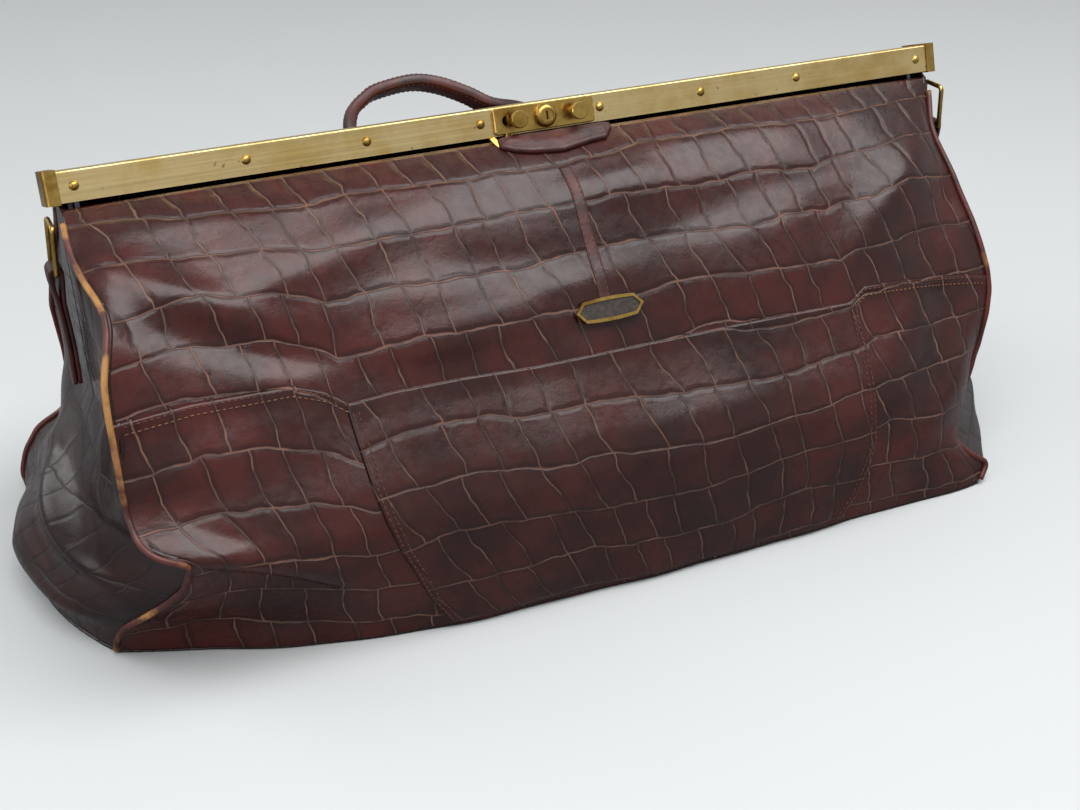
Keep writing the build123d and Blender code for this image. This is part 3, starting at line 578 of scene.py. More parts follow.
def scale_distances(tree, place):
    """Distances in mm to the nearest row groove and cross groove. Rows are the fraction of
    the run down over the row height. Cross grooves are the borders of random cells along
    the row, which start anew and lean a little in each row. Two noises warp them all."""
    wide = add(tree, "TexNoise", {"Vector": place, "Scale": per_metre(142.857), "Detail": 1.0})
    small = add(tree, "TexNoise", {"Vector": place, "Scale": per_metre(23.8095), "Detail": 2.0})
    for texture, reach in ((wide, (0.03, 0.036, 0.0)), (small, (0.010, 0.0075, 0.0))):
        warp = (texture.outputs[1], reach, place)
        place = add(tree, "VectorMath", warp, operation="MULTIPLY_ADD")
    axes = add(tree, "SeparateXYZ", (place,)).outputs
    rows = add(tree, "Math", (axes[1], SCALE_HEIGHT * MM), operation="DIVIDE")
    row = add(tree, "Math", (rows,), operation="FLOOR")
    within = add(tree, "Math", (rows,), operation="FRACT")
    rest = add(tree, "Math", (1.0, within), operation="SUBTRACT")
    nearer = add(tree, "Math", (within, rest), operation="MINIMUM")
    to_row = add(tree, "Math", (nearer, SCALE_HEIGHT), operation="MULTIPLY")
    fresh = add(tree, "Math", (row, 5.37), operation="MULTIPLY")
    lean = add(tree, "Math", (within, 0.3, fresh), operation="MULTIPLY_ADD")
    cells = add(tree, "Math", (axes[0], per_metre(SCALE_WIDTH), lean), operation="MULTIPLY_ADD")
    border = {"voronoi_dimensions": "1D", "feature": "DISTANCE_TO_EDGE"}
    cross = add(tree, "TexVoronoi", {"W": cells, "Scale": 1.0, "Randomness": 0.62}, **border)
    return to_row, add(tree, "Math", (cross.outputs["Distance"], SCALE_WIDTH), operation="MULTIPLY")


def embossed_leather(name, deep, warm, dark, line, shift=0.0, rough=0.22, pale=0.62, relief=1.0):
    """Glazed calf embossed with scales. Grooves are where the distance to the nearest one
    is under 1 mm; their rubbed lines are paler, and painted shade in the dark tone spreads beside
    them."""
    material, tree, shader = shader_tree(name)
    place = add(tree, "UVMap", uv_map="skin")
    place = add(tree, "VectorMath", (place, (shift, 0.0, 0.0)), operation="ADD")
    to_row, to_cross = scale_distances(tree, place)
    nearest = add(tree, "Math", (to_row, to_cross, 1.6), operation="SMOOTH_MIN")
    cross = add(tree, "MapRange", (to_cross, 0.15, 0.7, 1.0, 0.0), **SMOOTH)
    row = add(tree, "MapRange", (to_row, 0.2, 0.9, 1.0, 0.0), **SMOOTH)
    groove = add(tree, "Math", (cross, row), operation="MAXIMUM")

    # Where the groove's tan line still shows, and the painted shade beside it
    rubbed = add(tree, "TexNoise", {"Vector": place, "Scale": per_metre(16.6667), "Detail": 2.0})
    kept = add(tree, "MapRange", (rubbed, 0.38, 0.6, 0.3, 1.0), **SMOOTH)
    faint = add(tree, "Math", (row, 0.7), operation="MULTIPLY")
    lines = add(tree, "Math", (cross, faint), operation="MAXIMUM")
    lines = add(tree, "Math", (lines, kept), operation="MULTIPLY")
    lines = add(tree, "Math", (lines, pale), operation="MULTIPLY")
    # Painted shade: the dark tone laid beside each groove, fading out by 3.6 mm
    painted_groove_shade = add(tree, "MapRange", (nearest, 0.4, 3.6, 1.0, 0.0), **SMOOTH)
    painted_groove_shade = add(tree, "Math", (painted_groove_shade, 0.6), operation="MULTIPLY")

    # Dye clouds about 45 mm across and darker patches about 170 mm across
    cloud = {"Vector": place, "Scale": per_metre(45.4545), "Detail": 5.0, "Roughness": 0.62}
    cloud = add(tree, "TexNoise", cloud)
    cloud = add(tree, "MapRange", (cloud, 0.36, 0.64), **SMOOTH)
    patch = add(tree, "TexNoise", {"Vector": place, "Scale": per_metre(166.667), "Detail": 3.0})
    patch = add(tree, "MapRange", (patch, 0.42, 0.68, 0.0, 0.6), **SMOOTH)
    colour = linear(deep)
    # The dark tone serves both the real dye patches and the painted groove shade
    for share, tone in ((cloud, warm), (patch, dark), (painted_groove_shade, dark), (lines, line)):
        colour = add(tree, "Mix", {0: share, 6: colour, 7: linear(tone)}, **RGBA).outputs[2]

    # Creases about 8 mm apart, and pores of about 1 mm, coarser than real so that they show
    crease = {"Vector": place, "Scale": per_metre(7.6923), "Detail": 6.0, "Roughness": 0.65}
    crease = add(tree, "TexNoise", crease)
    pores = {"Vector": place, "Scale": per_metre(1.1111), "Detail": 3.0, "Roughness": 0.6}
    pores = add(tree, "TexNoise", pores)
    worn = add(tree, "MapRange", (crease, 0.3, 0.7, rough, rough + 0.16), **SMOOTH)
    worn = add(tree, "Math", (groove, 0.25, worn), operation="MULTIPLY_ADD")

    # Relief in metres: 0.32 mm pillows, 0.35 mm grooves, creases and pores
    height = add(tree, "MapRange", (nearest, 0.1, 3.2, 0.0, 0.32 * MM), **SMOOTH)
    for texture, depth in ((groove, -0.35), (crease, 0.28), (pores, 0.05)):
        height = add(tree, "Math", (texture, depth * MM, height), operation="MULTIPLY_ADD")
    shader.inputs["Specular IOR Level"].default_value = 0.38
    shader.inputs["Coat Weight"].default_value = 0.12
    shader.inputs["Coat Roughness"].default_value = 0.12
    finish_surface(tree, shader, colour, worn, height, relief)
    return material


def smooth_leather(name, deep, warm, worn, bare_low, bare_high):
    """Waxed smooth calf for cords and straps, rubbed back to its tan in patches about
    60 mm across, with creases 7 mm apart and a 1.4 mm grain."""
    material, tree, shader = shader_tree(name)
    place = add(tree, "TexCoord").outputs["Object"]
    cloud = add(tree, "TexNoise", {"Vector": place, "Scale": per_metre(16.6667), "Detail": 4.0})
    cloud = add(tree, "MapRange", (cloud, 0.35, 0.65), **SMOOTH)
    patch = {"Vector": place, "Scale": per_metre(62.5), "Detail": 5.0, "Roughness": 0.6}
    bare = add(tree, "TexNoise", patch)
    bare = add(tree, "MapRange", (bare, bare_low, bare_high), **SMOOTH)
    colour = linear(deep)
    for share, tone in ((cloud, warm), (bare, worn)):
        colour = add(tree, "Mix", {0: share, 6: colour, 7: linear(tone)}, **RGBA).outputs[2]
    grain = add(tree, "TexNoise", {"Vector": place, "Scale": per_metre(1.42857), "Detail": 3.0})
    crease = add(tree, "TexNoise", {"Vector": place, "Scale": per_metre(6.66667), "Detail": 4.0})
    rough = add(tree, "MapRange", (crease, 0.3, 0.7, 0.34, 0.54), **SMOOTH)
    height = add(tree, "Math", (crease, 0.35 * MM), operation="MULTIPLY")
    height = add(tree, "Math", (grain, 0.12 * MM, height), operation="MULTIPLY_ADD")
    finish_surface(tree, shader, colour, rough, height)
    return material


def dulled_brass(name, bright, dull, grain, rough):
    """Brass under a dull film in patches about 26 mm across, with dark 3 mm specks. The
    grain is the texture's scale along each axis: low along x draws brushed lines."""
    material, tree, shader = shader_tree(name)
    place = add(tree, "TexCoord").outputs["Object"]
    drawn = add(tree, "VectorMath", (place, grain), operation="MULTIPLY")
    brushed = {"Vector": drawn, "Scale": 1.0, "Detail": 4.0, "Roughness": 0.6}
    brushed = add(tree, "TexNoise", brushed)
    film = {"Vector": place, "Scale": per_metre(26.3158), "Detail": 5.0, "Roughness": 0.6}
    film = add(tree, "TexNoise", film)
    speck = add(tree, "TexNoise", {"Vector": place, "Scale": per_metre(3.125), "Detail": 2.0})
    speck = add(tree, "MapRange", (speck, 0.7, 0.76, 0.0, 0.55), **SMOOTH)
    dulled = add(tree, "MapRange", (film, 0.38, 0.68), **SMOOTH)
    colour = linear(bright)
    for share, tone in ((dulled, dull), (speck, "#4c3a1c")):
        colour = add(tree, "Mix", {0: share, 6: colour, 7: linear(tone)}, **RGBA).outputs[2]
    worn = add(tree, "MapRange", (brushed, 0.3, 0.7, rough - 0.06, rough + 0.1), **SMOOTH)
    worn = add(tree, "Math", (dulled, 0.12, worn), operation="MULTIPLY_ADD")
    height = add(tree, "Math", (brushed, 0.03 * MM), operation="MULTIPLY")
    height = add(tree, "Math", (film, 0.12 * MM, height), operation="MULTIPLY_ADD")
    shader.inputs["Metallic"].default_value = 1.0
    finish_surface(tree, shader, colour, worn, height)
    return material


def mottled(name, low, high, size, rough, metallic=0.0, depth=0.1):
    """Two close tones in a noise of that many mm, with the same noise as a low relief."""
    material, tree, shader = shader_tree(name)
    place = add(tree, "TexCoord").outputs["Object"]
    cloud = add(tree, "TexNoise", {"Vector": place, "Scale": per_metre(size), "Detail": 4.0})
    share = add(tree, "MapRange", (cloud, 0.35, 0.65), **SMOOTH)
    colour = add(tree, "Mix", {0: share, 6: linear(low), 7: linear(high)}, **RGBA).outputs[2]
    worn = add(tree, "MapRange", (cloud, 0.3, 0.7, rough - 0.06, rough + 0.06), **SMOOTH)
    height = add(tree, "Math", (cloud, depth * MM), operation="MULTIPLY")
    shader.inputs["Metallic"].default_value = metallic
    finish_surface(tree, shader, colour, worn, height)
    return material


# Glazed burgundy calf, embossed: mirror-like flats with tan lines worn into the grooves
# Its third tone is the dark dye of the patches and also the painted shade beside the grooves
PANEL = embossed_leather("glazed_embossed_calf", "#301311", "#451914", "#1c0e0e", "#8c604f")
# The pocket's cut of the same hide, a shade browner
POCKET = embossed_leather("pocket_embossed_calf", "#2d1412", "#401a16", "#1d0f0e", "#7a5142", 0.4)
# The ends are the same calf painted darker, as painted shade; they are also glossier and pressed
# less deep, so their lines barely show
END = embossed_leather(
    "end_embossed_calf", "#201110", "#311814", "#140b0a", "#432b23", 0.9, 0.17, 0.3, 0.45
)
# Calf over a cord, rubbed through to tan where it stands proud
PIPING = smooth_leather("piping_calf", "#3a1713", "#57221a", "#a4743f", 0.57, 0.68)
# Harness calf of the handle, tabs, welt and pad: dark, waxed and hardly worn
STRAP = smooth_leather("harness_calf", "#2f1413", "#471b18", "#6a3c2a", 0.66, 0.76)
# Waxed linen thread: matt, and brown like the leather
THREAD = mottled("waxed_thread", "#3d1f17", "#6b3a28", 1.1111, 0.7)
# The same thread bleached along the waist, where hands rub
WORN_THREAD = mottled("bleached_thread", "#5e3a26", "#86593a", 1.1111, 0.7)
# Brushed sheet brass of the channels: pale, with long fine lines along the mouth
SHEET_BRASS = dulled_brass("brushed_sheet_brass", "#e2ca92", "#c2a66a", (6.0, 900.0, 900.0), 0.3)
# Cast brass of the small fittings: yellower, smoother and darker in its film
CAST_BRASS = dulled_brass("cast_brass", "#c2a159", "#8d6c33", (300.0, 300.0, 300.0), 0.26)
# Cold-rolled steel of the hidden frame: plain grey with a soft shine
STEEL = mottled("rolled_steel", "#6c6c6e", "#86868a", 5.0, 0.4, 1.0, 0.04)
# Cotton twill lining: dull brown; its weave is drawn 1.7 mm wide so that it shows
LINING = mottled("cotton_twill", "#4a382a", "#5f4a38", 1.66667, 0.85, depth=0.2)
# Grey-brown pressed fibre board: matt and even
BOARD = mottled("fibre_board", "#4b3a2b", "#5c4938", 3.33333, 0.8)
# Bare inlay of the badge: dark, dry leather
INLAY = mottled("badge_inlay_leather", "#2b2320", "#3b322d", 2.5, 0.5, depth=0.2)


# Leather body


def seam_height(x):
    """Height of the waist seam at places along the mouth, by straight lines."""
    return np.interp(x, *np.transpose(SEAM))


def seam_at(u):
    """The waist seam's height at a share across."""
    return seam_height(u * HALF_MOUTH)


def lip(distance, rise=1.3, reach=10.0):
    """A turned edge: a quarter circle up in the first 1.6 mm, then a slow fall over the
    reach."""
    rounding = np.sqrt(np.clip(1 - (1 - np.clip(distance / 1.6, 0, 1)) ** 2, 0, 1))
    return rise * rounding * (1 - 0.75 * smooth(distance / reach))


def panel_grid(surface, top, foot, columns, rows, lipped=False):
    """Grid of a panel between two heights, closer set at both corners. A lipped panel has
    a turned top edge."""
    u = np.linspace(-1, 1, columns)[None, :]
    u = np.sign(u) * (1 - (1 - np.abs(u)) ** 1.15)
    share = np.linspace(0, 1, rows)[:, None]
    upper = top(u)
    z = upper * (1 - share) + foot(u) * share
    return surface(u, z, lip(upper - z) if lipped else 0.0)[0]


def level(height):
    """An edge at one height."""
    return lambda u: height + 0 * u


UNDERLAP = 4.0
front_upper_grid = panel_grid(front_skin, level(FRONT_TOP), lambda u: seam_at(u) - UNDERLAP, 260, 80)
upper_run = lengths_over(front_upper_grid, 0).mean(1)[-1]
front_lower_grid = panel_grid(front_skin, seam_at, level(FOOT), 300, 130, True)
rear_upper_grid = panel_grid(rear_skin, level(REAR_TOP), level(REAR_SEAM - 3), 160, 60)
rear_lower_grid = panel_grid(rear_skin, level(REAR_SEAM), level(FOOT), 160, 70, True)
front_upper = shell("front_upper_leather", front_upper_grid, PANEL)
front_lower = shell("front_lower_leather", front_lower_grid, PANEL, down=UNDERLAP - upper_run)
rear_upper = shell("rear_upper_leather", rear_upper_grid, PANEL, turned=False)
rear_lower = shell("rear_lower_leather", rear_lower_grid, PANEL, down=-110, turned=False)


def gusset(side, name):
    """One end panel."""
    t = np.linspace(-1, 1, 90)[None, :]
    z = np.linspace(GUSSET_TOP, FOOT, 90)[:, None]
    grid = gusset_skin(side)(t, z)[0]
    return shell(f"{name}_gusset_leather", grid, END, across=300 * side, turned=side > 0)


gussets = {name: gusset(side, name) for side, name in SIDES}

# Leather that turns round the ends of the frame
SLIT_X, SLIT_GAP = 281.2, 0.4
WING_TOP = {True: 235.5, False: 233.0}
WING_FOOT = 132


def wing(front, row, side, word):
    """Leather from a corner straight to the mouth's slit, its x drawn early to the frame's
    end by a smooth step."""
    t = np.linspace(0, 1, 24)[None, :]
    z = np.linspace(WING_TOP[front], WING_FOOT, 50)[:, None]
    corner = corner_path(front, side, z)
    slit_y = PIVOT_Y + (z - PIVOT_Z) * math.tan(FRAME_TILT)
    slit_y = slit_y + (-SLIT_GAP if front else SLIT_GAP)
    slit = np.stack(np.broadcast_arrays(side * SLIT_X, slit_y, z), -1)
    place = corner + (slit - corner) * t[..., None]
    straight = side * corner[..., 0]
    place[..., 0] = side * (straight + (SLIT_X - straight) * smooth(t * 1.6))
    return shell(f"{row}_{word}_wing_leather", place, END, turned=(side > 0) == front)


wings = {front: [wing(front, row, side, word) for side, word in SIDES] for front, row in ROWS}

# Pocket
POCKET_TOP, POCKET_FOOT = 139.0, 5.0


def pocket_sides(z):
    """The x of both side seams at a height, by straight lines."""
    return [np.interp(z, *np.transpose(seam)) for seam in (POCKET_LEFT, POCKET_RIGHT)]


def pocket_grid():
    """Patch on the front between its two side seams, from just under the waist seam down.
    Its lift is a turned edge and a slow swell, both of the distance to the nearest edge."""
    share = np.linspace(0, 1, 220)[None, :]
    down = np.linspace(0, 1, 110)[:, None]
    left, right = pocket_sides(POCKET_TOP * (1 - down) + POCKET_FOOT * down)
    x = left * (1 - share) + right * share
    z = (seam_height(x) - 1.0) * (1 - down) + POCKET_FOOT * down
    edge = np.minimum(np.minimum(x - left, right - x), z - POCKET_FOOT + 1)
    lift = 0.3 + lip(edge, 2.0, 14.0) + smooth(edge / 12.0)
    return front_skin(x / HALF_MOUTH, z, lift)[0]


pocket = shell("pocket_leather", pocket_grid(), POCKET, down=-upper_run, thickness=1.4)

# Base
BASE_Z, BASE_THICKNESS = 0.2, 1.0
BOARD_Z, BOARD_THICKNESS = 3.0, 2.2
BOARD_SHARE = (0.965, 0.93, 0.0)


def coons(front, rear, left, right):
    """Surface spanned by four edges: the sheet between front and rear plus the sheet
    between left and right, less the sheet between the corners."""
    s = np.linspace(0, 1, front.shape[0])[None, :, None]
    t = np.linspace(0, 1, left.shape[0])[:, None, None]
    across = front[None] * (1 - t) + rear[None] * t
    along = left[:, None] * (1 - s) + right[:, None] * s
    near = front[0] * (1 - s) + front[-1] * s
    far = rear[0] * (1 - s) + rear[-1] * s
    return across + along - near * (1 - t) - far * t


def foot_edge(surface, count):
    """A panel's foot as a line of points."""
    return surface(np.linspace(-1, 1, count), np.full(count, FOOT))[0]


foot_edges = [foot_edge(surface, 90) for surface in (front_skin, rear_skin)]
foot_edges += [foot_edge(gusset_skin(side), 40) for side, _ in SIDES]
base_grid = coons(*foot_edges)
base_grid[..., 2] = BASE_Z
board_grid = base_grid * BOARD_SHARE + (0, 0, BOARD_Z)
base = shell("base_leather_sheet", base_grid, END, thickness=BASE_THICKNESS)
board = shell("base_board_sheet", board_grid, BOARD, thickness=-BOARD_THICKNESS)

# Lining
LINING_TOP, LINING_FOOT = 127, 4
LINING_GAP, CLOTH = 1.2, 0.7


def lining_object():
    """Cloth inside the four walls: each wall's own surface, moved in by the leather and a
    gap, as one mesh of four grids."""
    z = np.linspace(LINING_TOP, LINING_FOOT, 30)[:, None]
    walls = (
        (front_skin, 90, False),
        (rear_skin, 90, True),
        (gusset_skin(-1), 40, True),
        (gusset_skin(1), 40, False),
    )
    points, faces, start = [], [], 0
    for surface, columns, turned in walls:
        u = np.linspace(-0.985, 0.985, columns)[None, :]
        points.append(surface(u, z, -LEATHER - LINING_GAP)[0].reshape(-1, 3))
        faces += (grid_faces(30, columns, turned) + start).tolist()
        start += 30 * columns
    obj = mesh_object("lining_cloth", np.concatenate(points), faces, LINING)
    thicken(obj, CLOTH)
    return obj


lining = lining_object()

# Piping
PIPING_RADIUS, PIPING_PROUD = 1.75, 1.1
PIPING_TOP = {True: 230, False: 226}
PIPING_FOOT = 3


def piping(front, row, side, word):
    """Covered cord: a circle carried along a corner, standing proud of both panels."""
    path = corner_path(front, side, np.linspace(PIPING_TOP[front], PIPING_FOOT, 150))
    outward = np.array((side * 0.72, -0.7 if front else 0.7, 0.0))
    section = superellipse(2 * PIPING_RADIUS, 2 * PIPING_RADIUS, 16, 2.0)
    name = f"{row}_{word}_piping_cord"
    return sweep(name, path + outward * PIPING_PROUD, section, PIPING, outward)


pipings = {front: [piping(front, row, side, word) for side, word in SIDES] for front, row in ROWS}

# Welt down the middle of the upper front
WELT_HALF, WELT_RISE = 3.6, 0.75
WELT_TOP, WELT_FOOT = 224, 160


def welt_grid():
    """Flat band on the front whose rise is the root of one less a sixth power across."""
    x = np.linspace(-WELT_HALF, WELT_HALF, 16)[None, :]
    z = np.linspace(WELT_TOP, WELT_FOOT, 60)[:, None]
    rise = WELT_RISE * np.sqrt(np.clip(1 - (np.abs(x) / (WELT_HALF + 0.1)) ** 6, 0, 1))
    return front_skin(x / HALF_MOUTH, z, rise)[0]


welt = shell("centre_welt_leather", welt_grid(), STRAP, thickness=1.0)

# Lock pad under the plate: its middle, half width and top, and the run of its lower edge
PAD_X, PAD_HALF, PAD_TOP = 5.0, 37.0, 235.2
PAD_SHARES = (-1, -0.8, -0.5, 0, 0.5, 0.8, 1)
PAD_EDGE = (232.4, 230.8, 229.6, 228.8, 230.2, 230.6, 233.6)


def lock_pad_grid():
    """Lobed pad on the front between its top and its wavy lower edge. Its lift is a turned
    edge and a swell, both of the distance to the nearest edge; the slope below the bar
    makes a height count for 2.2 times its measure."""
    share = np.linspace(-1, 1, 90)[None, :]
    down = np.linspace(0, 1, 26)[:, None]
    low = np.interp(share, PAD_SHARES, PAD_EDGE)
    z = PAD_TOP * (1 - down) + low * down
    edge = np.minimum((1 - np.abs(share)) * PAD_HALF, (z - low) * 2.2)
    lift = 0.4 + lip(edge, 2.6, 30.0) + 1.6 * smooth(edge / 8)
    return front_skin((PAD_X + PAD_HALF * share) / HALF_MOUTH, z, lift)[0]


lock_pad = shell("lock_pad_leather", lock_pad_grid(), STRAP, thickness=1.2)


# Stitching


def sewn(name, x, z, lift, material=THREAD):
    """A row of stitches on the front at places x and heights z."""
    path, normal = front_skin(x / HALF_MOUTH, z, lift)
    return stitches(name, path, normal, material, **STITCH)


def sew_welt():
    """A row near each edge of the welt."""
    z = np.linspace(223, 161, 60)
    rows = (("l", -2.4), ("r", 2.4))
    return [sewn(f"welt_stitches_{word}", np.full(60, x), z, 0.7) for word, x in rows]


def sew_waist():
    """Two rows below the waist seam, the lower one bleached."""
    x = np.linspace(-276, 274, 400)
    rows = enumerate(((2.2, THREAD), (5.4, WORN_THREAD)))
    return [sewn(f"waist_stitches_{k}", x, seam_height(x) - drop, 1.2, m) for k, (drop, m) in rows]


def sew_pocket():
    """Two rows inside each side edge of the pocket."""
    z = np.linspace(132, 8, 200)
    rows = []
    for index, (edge, inwards) in enumerate(zip(pocket_sides(z), (1, -1))):
        for row, inset in enumerate((2.4, 5.6)):
            rows.append(sewn(f"pocket_stitches_{index}{row}", edge + inwards * inset, z, 2.35))
    return rows


sewn_upper = sew_welt()
sewn_lower = sew_waist() + sew_pocket()

# Handle: place along the mouth, distance from the pins' axis, lean in degrees, width
HANDLE_Y, HANDLE_Z = 17.076, 233.851
HANDLE_THICKNESS = 7.0
HANDLE_LINE = (
    (-106.5, 0.0, 35.0, 9.0),
    (-106.5, 10.0, 35.0, 9.0),
    (-102.5, 19.0, 35.0, 12.0),
    (-95.0, 24.6, 35.0, 15.0),
    (-86.0, 28.7, 35.0, 16.0),
    (-64.0, 31.3, 35.0, 16.0),
    (-47.5, 27.8, 35.0, 16.0),
    (-30.6, 19.3, 35.0, 16.0),
    (-15.0, 10.0, 43.0, 16.0),
    (12.0, 8.5, 96.0, 12.0),
    (38.0, 12.5, 110.0, 11.5),
    (62.0, 18.0, 111.0, 11.5),
    (85.0, 21.0, 110.0, 12.0),
    (99.0, 18.0, 107.0, 11.0),
    (106.5, 9.0, 103.0, 9.0),
    (106.5, 0.0, 103.0, 9.0),
)


def handle():
    """Strap through the stations: each lies at its distance from the axis in the direction
    of its lean, and the section's width is square to that lean. Returns it with the four
    rows of stitches near its edges."""
    x, reach, lean, width = np.transpose(HANDLE_LINE)
    turn = np.radians(lean)
    y, z = HANDLE_Y + reach * np.sin(turn), HANDLE_Z + reach * np.cos(turn)
    fine = catmull(np.stack((x, y, z, lean, width), -1), 180)
    path, turn, width = fine[:, :3], np.radians(fine[:, 3]), fine[:, 4]
    across = np.stack((0 * turn, -np.cos(turn), np.sin(turn)), -1)
    _, side, face = directions(path, np.cross(np.gradient(path, axis=0), across))
    section = superellipse(1, 1, 28, 4.0)
    strap = sweep("handle_leather", path, section, STRAP, face, width, HANDLE_THICKNESS)
    rows = []
    for index, edge in enumerate((-1, 1)):
        for word, top in (("a", -1), ("b", 1)):
            line = path + side * (edge * (width / 2 - 2.2))[:, None] + face * top * 3.35
            name = f"handle_stitches_{index}{word}"
            rows.append(stitches(name, line[14:-14], face[14:-14] * top, THREAD, **HANDLE_STITCH))
    return strap, rows


handle_strap, handle_rows = handle()

# Ring tabs: where the ring's lower bar runs, how far the strap's middle turns round it
RING_X, RING_Y, RING_Z = 289.1, -16.0, 200.0
TAB_TURN, TAB_CLOSED = 3.1, 1.35
TAB_FOOT, TAB_WIDTH, TAB_THICKNESS = 134, 13.0, 2.6


def ring_tab(side, word):
    """Strap folded round the ring's bar: up, half a circle, and down. Below the ring a
    smooth step draws the two layers together and in to the gusset."""
    turn = np.linspace(0, math.pi, 20)[1:-1]
    bend = np.stack((RING_X + TAB_TURN * np.cos(turn), RING_Z + TAB_TURN * np.sin(turn)), -1)
    heights = np.linspace(TAB_FOOT, RING_Z - 1, 34)
    gap = TAB_CLOSED + (TAB_TURN - TAB_CLOSED) * smooth((heights - 180) / 19)
    middle = 286.6 + 2.5 * smooth((heights - 150) / 48)
    outer = np.stack((middle + gap, heights), -1)
    inner = np.stack((middle - gap, heights), -1)[::-1]
    line = np.concatenate((outer, bend, inner))
    path = np.stack((side * line[:, 0], np.full(len(line), RING_Y), line[:, 1]), -1)
    run = np.gradient(path, axis=0)
    outwards = np.stack((run[:, 2] * side, 0 * run[:, 0], -run[:, 0] * side), -1)
    section = superellipse(TAB_WIDTH, TAB_THICKNESS, 24, 6.0)
    return sweep(f"{word}_ring_tab_leather", path, section, STRAP, outwards)


tabs = {word: ring_tab(side, word) for side, word in SIDES}

# Small bent brass tab beside the lock pad
TAB_LINE = (
    (-34.0, -18.5, 237.5),
    (-32.0, -22.5, 235.0),
    (-29.5, -24.2, 233.6),
    (-26.0, -22.5, 235.5),
    (-22.8, -18.5, 238.2),
)
TAB_SECTION = superellipse(3.6, 0.9, 16, 6.0)
brass_tab = sweep("lock_brass_tab", catmull(TAB_LINE, 40), TAB_SECTION, CAST_BRASS, (0.0, -0.7, 0.7))

# Who moves with whom: leather near the mouth has its placing baked in and is left unattached; the
# rest is attached to the body, the handle and the front frame
for obj in (front_upper, welt, lock_pad, *sewn_upper, *wings[True], *pipings[True]):
    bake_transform(obj)
for obj in (rear_upper, *wings[False], *pipings[False]):
    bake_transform(obj)
for obj in (front_lower, rear_lower, pocket, base, board, lining, *sewn_lower):
    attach(obj, "body")
for obj in (*gussets.values(), *tabs.values()):
    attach(obj, "body")
for obj in (handle_strap, *handle_rows):
    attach(obj, "handle")
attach(brass_tab, "front_frame")

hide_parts("front_upper_panel")
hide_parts("rear_upper_panel")
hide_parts("front_lower_panel")
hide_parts("rear_lower_panel")
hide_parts("front_pocket")
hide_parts("base_leather")
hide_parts("base_board")
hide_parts("lining")
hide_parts("centre_welt")
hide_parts("lock_pad")
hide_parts("handle_strap")
for _, word in SIDES:
    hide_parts(f"{word}_gusset")
    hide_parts(f"{word}_ring_tab")
for front, row in ROWS:
    for cord, (_, word) in zip(pipings[front], SIDES):
        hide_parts(f"{row}_{word}_piping")

# Materials of the solids that stay
SOLID_MATERIALS = (
    (
        CAST_BRASS,
        "front_rivets rear_rivets front_left_cap front_right_cap rear_left_cap rear_right_cap "
        "lock_plate keyhole_collar left_knob right_knob key_plug left_handle_bracket "
        "right_handle_bracket left_handle_pin right_handle_pin handle_rivets handle_eyelets "
        "left_ring right_ring badge_rim",
    ),
    (SHEET_BRASS, "front_channel rear_channel"),
    (
        STEEL,
        "front_steel rear_steel lock_catches left_hinge_pin right_hinge_pin left_hinge_plate "
        "right_hinge_plate",
    ),
    (INLAY, "badge_inlay"),
)
for material, names in SOLID_MATERIALS:
    for name in names.split():
        slots = frame["nodes"][name].data.materials
        slots.clear()
        slots.append(material)


# Floor, light and camera


def floor():
    """Pale board 12 m wide just under the base. Glossy surfaces see it dimmer, as they
    would the room behind a camera."""
    material, tree, shader = shader_tree("pale_floor")
    place = add(tree, "TexCoord").outputs["Object"]
    cloud = add(tree, "TexNoise", {"Vector": place, "Scale": per_metre(500), "Detail": 2.0})
    tones = {0: cloud, 6: linear("#c4c7c8"), 7: linear("#cacdce")}
    tree.links.new(add(tree, "Mix", tones, **RGBA).outputs[2], shader.inputs["Base Color"])
    shader.inputs["Roughness"].default_value = 0.6
    glossy = add(tree, "LightPath").outputs["Is Glossy Ray"]
    dim = add(tree, "BsdfDiffuse", {"Color": linear("#7d7e80")})
    both = add(tree, "MixShader", (glossy, shader, dim))
    output = next(node for node in tree.nodes if node.type == "OUTPUT_MATERIAL")
    tree.links.new(both.outputs[0], output.inputs["Surface"])
    half, low = 6000, -0.4
    corners = [(-half, -half, low), (half, -half, low), (half, half, low), (-half, half, low)]
    mesh_object("floor", corners, [(0, 1, 2, 3)], material)


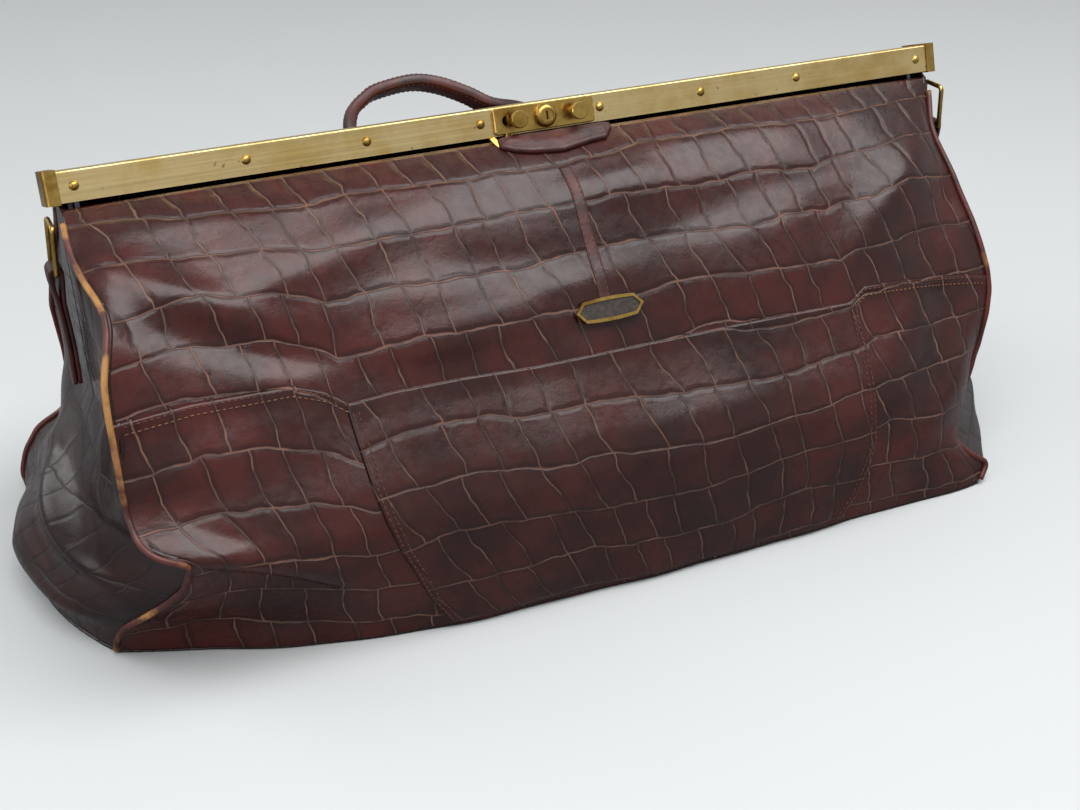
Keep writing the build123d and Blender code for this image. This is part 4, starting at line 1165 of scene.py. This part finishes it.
def softbox(name, place, aim, size, watts, tint):
    """Rectangular lamp at a place, turned to its aim."""
    data = bpy.data.lights.new(name, "AREA")
    data.shape = "RECTANGLE"
    data.size, data.size_y = size
    data.energy = watts
    data.color = tint
    lamp = bpy.data.objects.new(name, data)
    bpy.context.collection.objects.link(lamp)
    lamp.location = place
    lamp.rotation_euler = (Vector(aim) - Vector(place)).to_track_quat("-Z", "Y").to_euler()


def room():
    """Even pale light, a little weaker overhead; the camera sees a plain pale room."""
    world = bpy.data.worlds.new("pale_room")
    bpy.context.scene.world = world
    world.use_nodes = True
    tree = world.node_tree
    tree.nodes.clear()
    to_camera = add(tree, "LightPath").outputs["Is Camera Ray"]
    place = add(tree, "TexCoord").outputs["Generated"]
    height = add(tree, "SeparateXYZ", (place,)).outputs["Z"]
    strength = add(tree, "MapRange", (height, 0.0, 0.9, 0.62, 0.5), **SMOOTH)
    light = add(tree, "Background", (linear("#e7e8e9"), strength))
    seen = add(tree, "Background", (linear("#e0e2e4"), 1.0))
    both = add(tree, "MixShader", (to_camera, light, seen))
    add(tree, "OutputWorld", (both,))


def camera():
    """The photograph's viewpoint: turned from +y towards +x, and dipped."""
    data = bpy.data.cameras.new("camera")
    data.sensor_fit = "HORIZONTAL"
    data.sensor_width = 36.0
    data.lens = 52.0
    data.clip_start = 0.01
    turn, dip = math.radians(25.197), math.radians(28.726)
    across = math.cos(dip)
    ahead = Vector((math.sin(turn) * across, math.cos(turn) * across, -math.sin(dip)))
    right = Vector((math.cos(turn), -math.sin(turn), 0))
    obj = bpy.data.objects.new("camera", data)
    bpy.context.collection.objects.link(obj)
    matrix = Matrix((right, right.cross(ahead), -ahead)).transposed().to_4x4()
    matrix.translation = Vector((-0.38023, -0.82076, 0.53846))
    obj.matrix_world = matrix
    bpy.context.scene.camera = obj


floor()
BODY_MIDDLE = (0.0, 0.0, 0.12)
softbox("overhead", (0.2, -0.58, 1.66), (0.0, -0.05, 0.14), (2.5, 1.15), 41.0, (1.0, 0.995, 0.99))
softbox("rear_left", (-1.5, 1.1, 1.3), BODY_MIDDLE, (1.4, 1.2), 12.0, (0.98, 0.99, 1.0))
softbox("left_window", (-1.9, -0.7, 0.8), BODY_MIDDLE, (1.0, 1.2), 7.0, (0.98, 0.99, 1.0))
room()
camera()
bpy.context.scene.view_settings.view_transform = "Standard"
